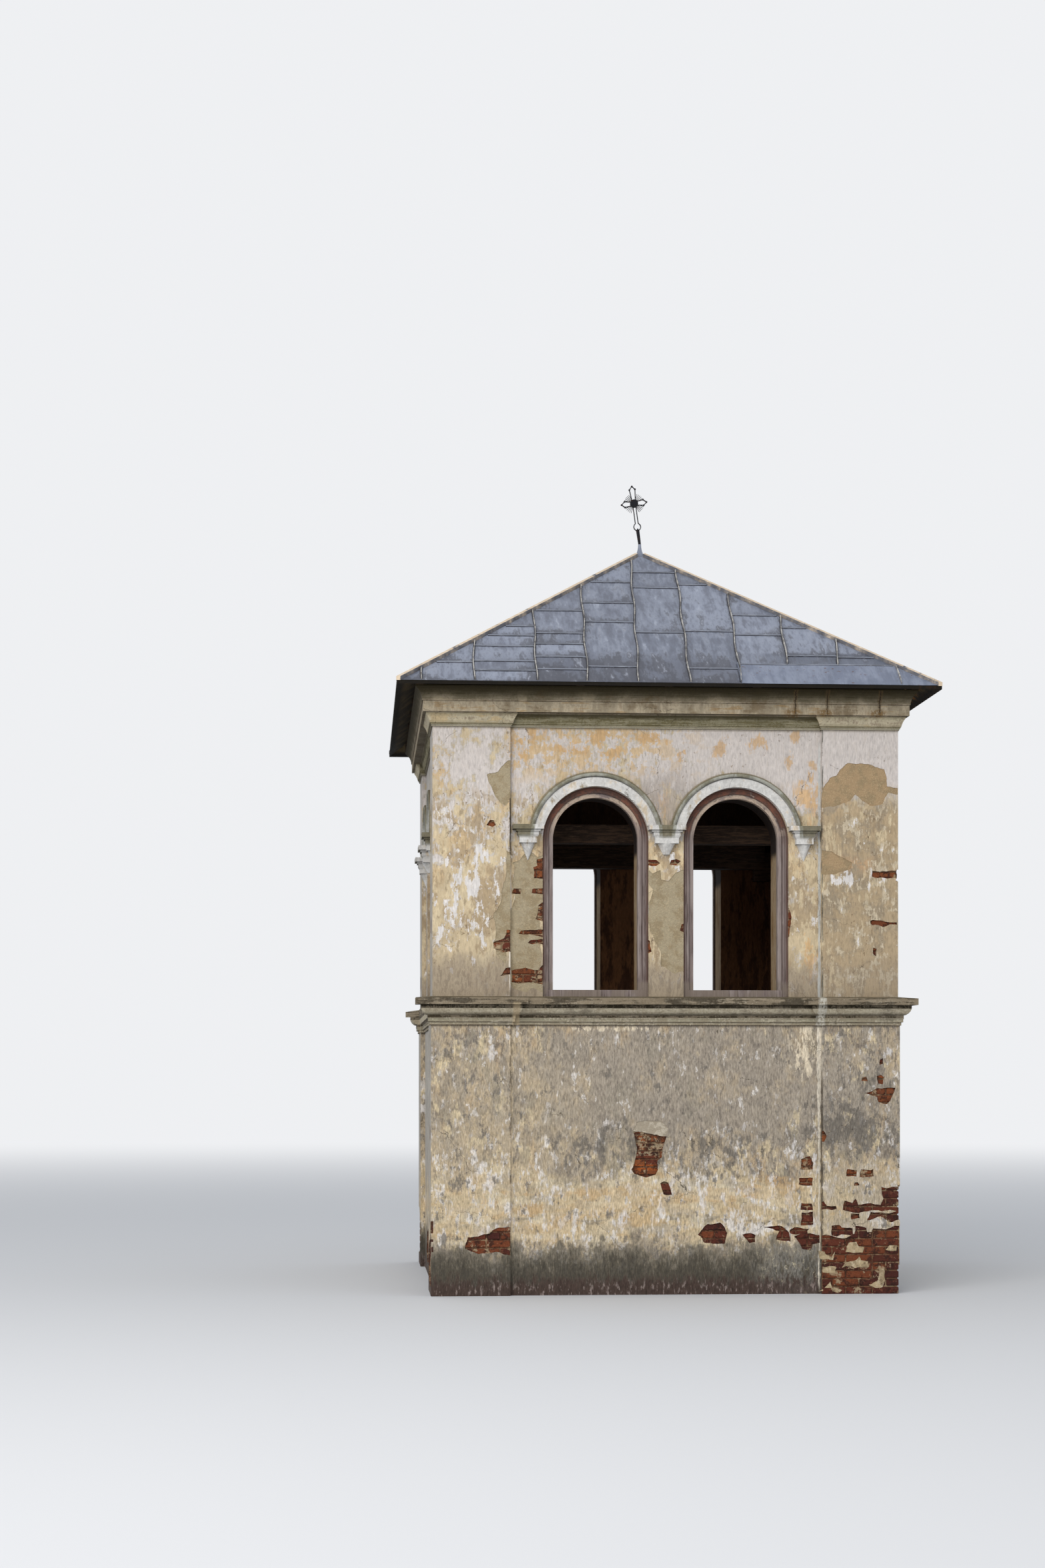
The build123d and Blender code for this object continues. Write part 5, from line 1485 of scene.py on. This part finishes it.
def dressRoof(side, seams, folds, seed, patched=False):
    bm = bmesh.new()
    roofSheet(bm, side, seams, folds, seed)
    addPiece(bm, "roofSheet" + side.capitalize(), [sheetMaterial, dripShadeMaterial],
             ["roof_sheet_" + side], smooth=True)
    bm = bmesh.new()
    addSeams(bm, side, seams, seed, patched)
    addFolds(bm, side, seams, folds, seed)
    addPiece(bm, "roofSeams" + side.capitalize(), [seamMaterial, foldMaterial, dirtAndShadeMaterial])


frontSeed = 1.3  # of the front's waves, which the newer sheet follows


def layNewerSheet(seed):
    # over the front eave, from one seam to the right hip, with a seam and a welt along its edges
    size = newerSheetSize
    bm = bmesh.new()
    flatSheet(bm, size["from"] + size["gap"], eaveHalf, roof["tuck"] - size["below"], size["top"])
    cutAtHips(bm)
    for vert in bm.verts:
        vert.co.z += size["lift"]
        vert.co.y += size["ripple"] * math.sin(vert.co.x * 5) * vert.co.y
    ontoSlope(bm, list(bm.verts), "front", seed)
    addPiece(bm, "newerRoofSheet", [newSheetMaterial], smooth=True)
    bm = bmesh.new()
    addSeam(bm, (size["from"], size["from"] + size["lean"]), seamShape["start"], size["top"], "front", seed)
    hipAside = eaveHalf - size["top"] * math.cos(pitch) - roof["hipHalf"] * 1.5
    addFold(bm, size["from"] + size["foldFrom"], hipAside, size["top"], "front", seed)
    addPiece(bm, "newerSheetEdges", [hipMaterial, foldMaterial, dirtAndShadeMaterial])


dressRoof("front", frontSeams, frontFolds, frontSeed, patched=True)
for number, side in enumerate(("right", "back", "left")):
    dressRoof(side, evenSeams, sideFolds[number:] + sideFolds[:number], 3.7 + 2 * number)
layNewerSheet(frontSeed)
print("roof dressed")

# A board on edge against the rear bell beam, which closes the view between the two beams
board = {"half": 1.55, "thick": 0.028, "below": 0.1, "above": 0.11, "ease": 0.003}
beamLow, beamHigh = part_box("bell_beams")
beamFront = beamHigh.y - (beamHigh.z - beamLow.z)
bm = bmesh.new()
box(bm, (-board["half"], beamFront - board["thick"], beamHigh.z - board["below"]),
    (board["half"], beamFront, beamHigh.z + board["above"]), board["ease"])
addPiece(bm, "beamBoard", [timberMaterial])


# Camera at the photograph's viewing angle: level, upright, with the horizon low in the picture
camera = {
    "place": (-2.971, -25.482, 2.041), "turn": -3.896, "focal": 3652.8, "horizon": 1623.55,
    "tall": 2352, "sensor": 36.0, "farthest": 500,
}
eye = bpy.data.cameras.new("camera")
eye.sensor_width = camera["sensor"]
eye.lens = camera["focal"] / camera["tall"] * camera["sensor"]
eye.shift_y = (camera["horizon"] - camera["tall"] / 2) / camera["tall"]
eye.clip_end = camera["farthest"]
eyeObject = bpy.data.objects.new("camera", eye)
eyeObject.location = camera["place"]
eyeObject.rotation_euler = (math.radians(90), 0, math.radians(camera["turn"]))
bpy.context.scene.collection.objects.link(eyeObject)
bpy.context.scene.camera = eyeObject

light = {
    "world": 0.74, "worldColour": (0.93, 0.96, 1.0, 1.0), "backdrop": (0.86, 0.87, 0.89, 1.0),
    "key": 2840.0, "keySize": 14.0, "keyColour": (1.0, 0.97, 0.93), "keyPlace": (-9.0, -19.0, 15.0),
    "keyAim": (0, 0, 4), "floor": (0.62, 0.63, 0.65, 1.0), "floorRadius": 120, "fade": (10, 60),
}


def seenPlainly(tree):
    # rays to the camera, off a glossy face and through a clear one all meet the pale backdrop
    toCamera, glossy, clear = (Wire(tree, None).node("ShaderNodeLightPath", out=kind)
                               for kind in ("Is Camera Ray", "Is Glossy Ray", "Is Transmission Ray"))
    return toCamera.most(glossy).most(clear)


world = bpy.data.worlds.new("studio")
bpy.context.scene.world = world
world.use_nodes = True
worldTree = world.node_tree
background = worldTree.nodes["Background"]
background.inputs["Color"].default_value = light["worldColour"]
background.inputs["Strength"].default_value = light["world"]
lit = Wire(worldTree, background.outputs[0])
pale = lit.node("ShaderNodeBackground", {0: light["backdrop"]})
either = lit.node("ShaderNodeMixShader", {0: seenPlainly(worldTree), 1: lit, 2: pale})
worldTree.links.new(either.socket, worldTree.nodes["World Output"].inputs[0])

lamp = bpy.data.lights.new("key", "AREA")
lamp.energy = light["key"]
lamp.size = light["keySize"]
lamp.color = light["keyColour"]
lampObject = bpy.data.objects.new("key", lamp)
lampObject.location = light["keyPlace"]
aim = Vector(light["keyAim"]) - lampObject.location
lampObject.rotation_euler = aim.to_track_quat("-Z", "Y").to_euler()
bpy.context.scene.collection.objects.link(lampObject)

# The floor keeps the shadow near the tower and fades into the backdrop further off
bm = bmesh.new()
bmesh.ops.create_circle(bm, cap_ends=True, radius=light["floorRadius"], segments=64)
floorMesh = bpy.data.meshes.new("paleFloor")
bm.to_mesh(floorMesh)
bm.free()
floorObject = bpy.data.objects.new("paleFloor", floorMesh)
bpy.context.scene.collection.objects.link(floorObject)
floorPaint = Paint("paleFloor", 0.9, Base_Color=light["floor"])
floorShade = Wire(floorPaint.tree, floorPaint.shader.outputs[0])
glow = floorShade.node("ShaderNodeEmission", {0: light["backdrop"]})
away = (floorPaint.x * floorPaint.x + floorPaint.y * floorPaint.y).maths("SQRT").rise(*light["fade"])
faded = away * seenPlainly(floorPaint.tree)
blend = floorShade.node("ShaderNodeMixShader", {0: faded, 1: floorShade, 2: glow})
floorPaint.tree.links.new(blend.socket, floorPaint.tree.nodes["Material Output"].inputs[0])
floorMesh.materials.append(floorPaint.material)

bpy.context.scene.view_settings.view_transform = "Standard"

print("camera, light and floor set")
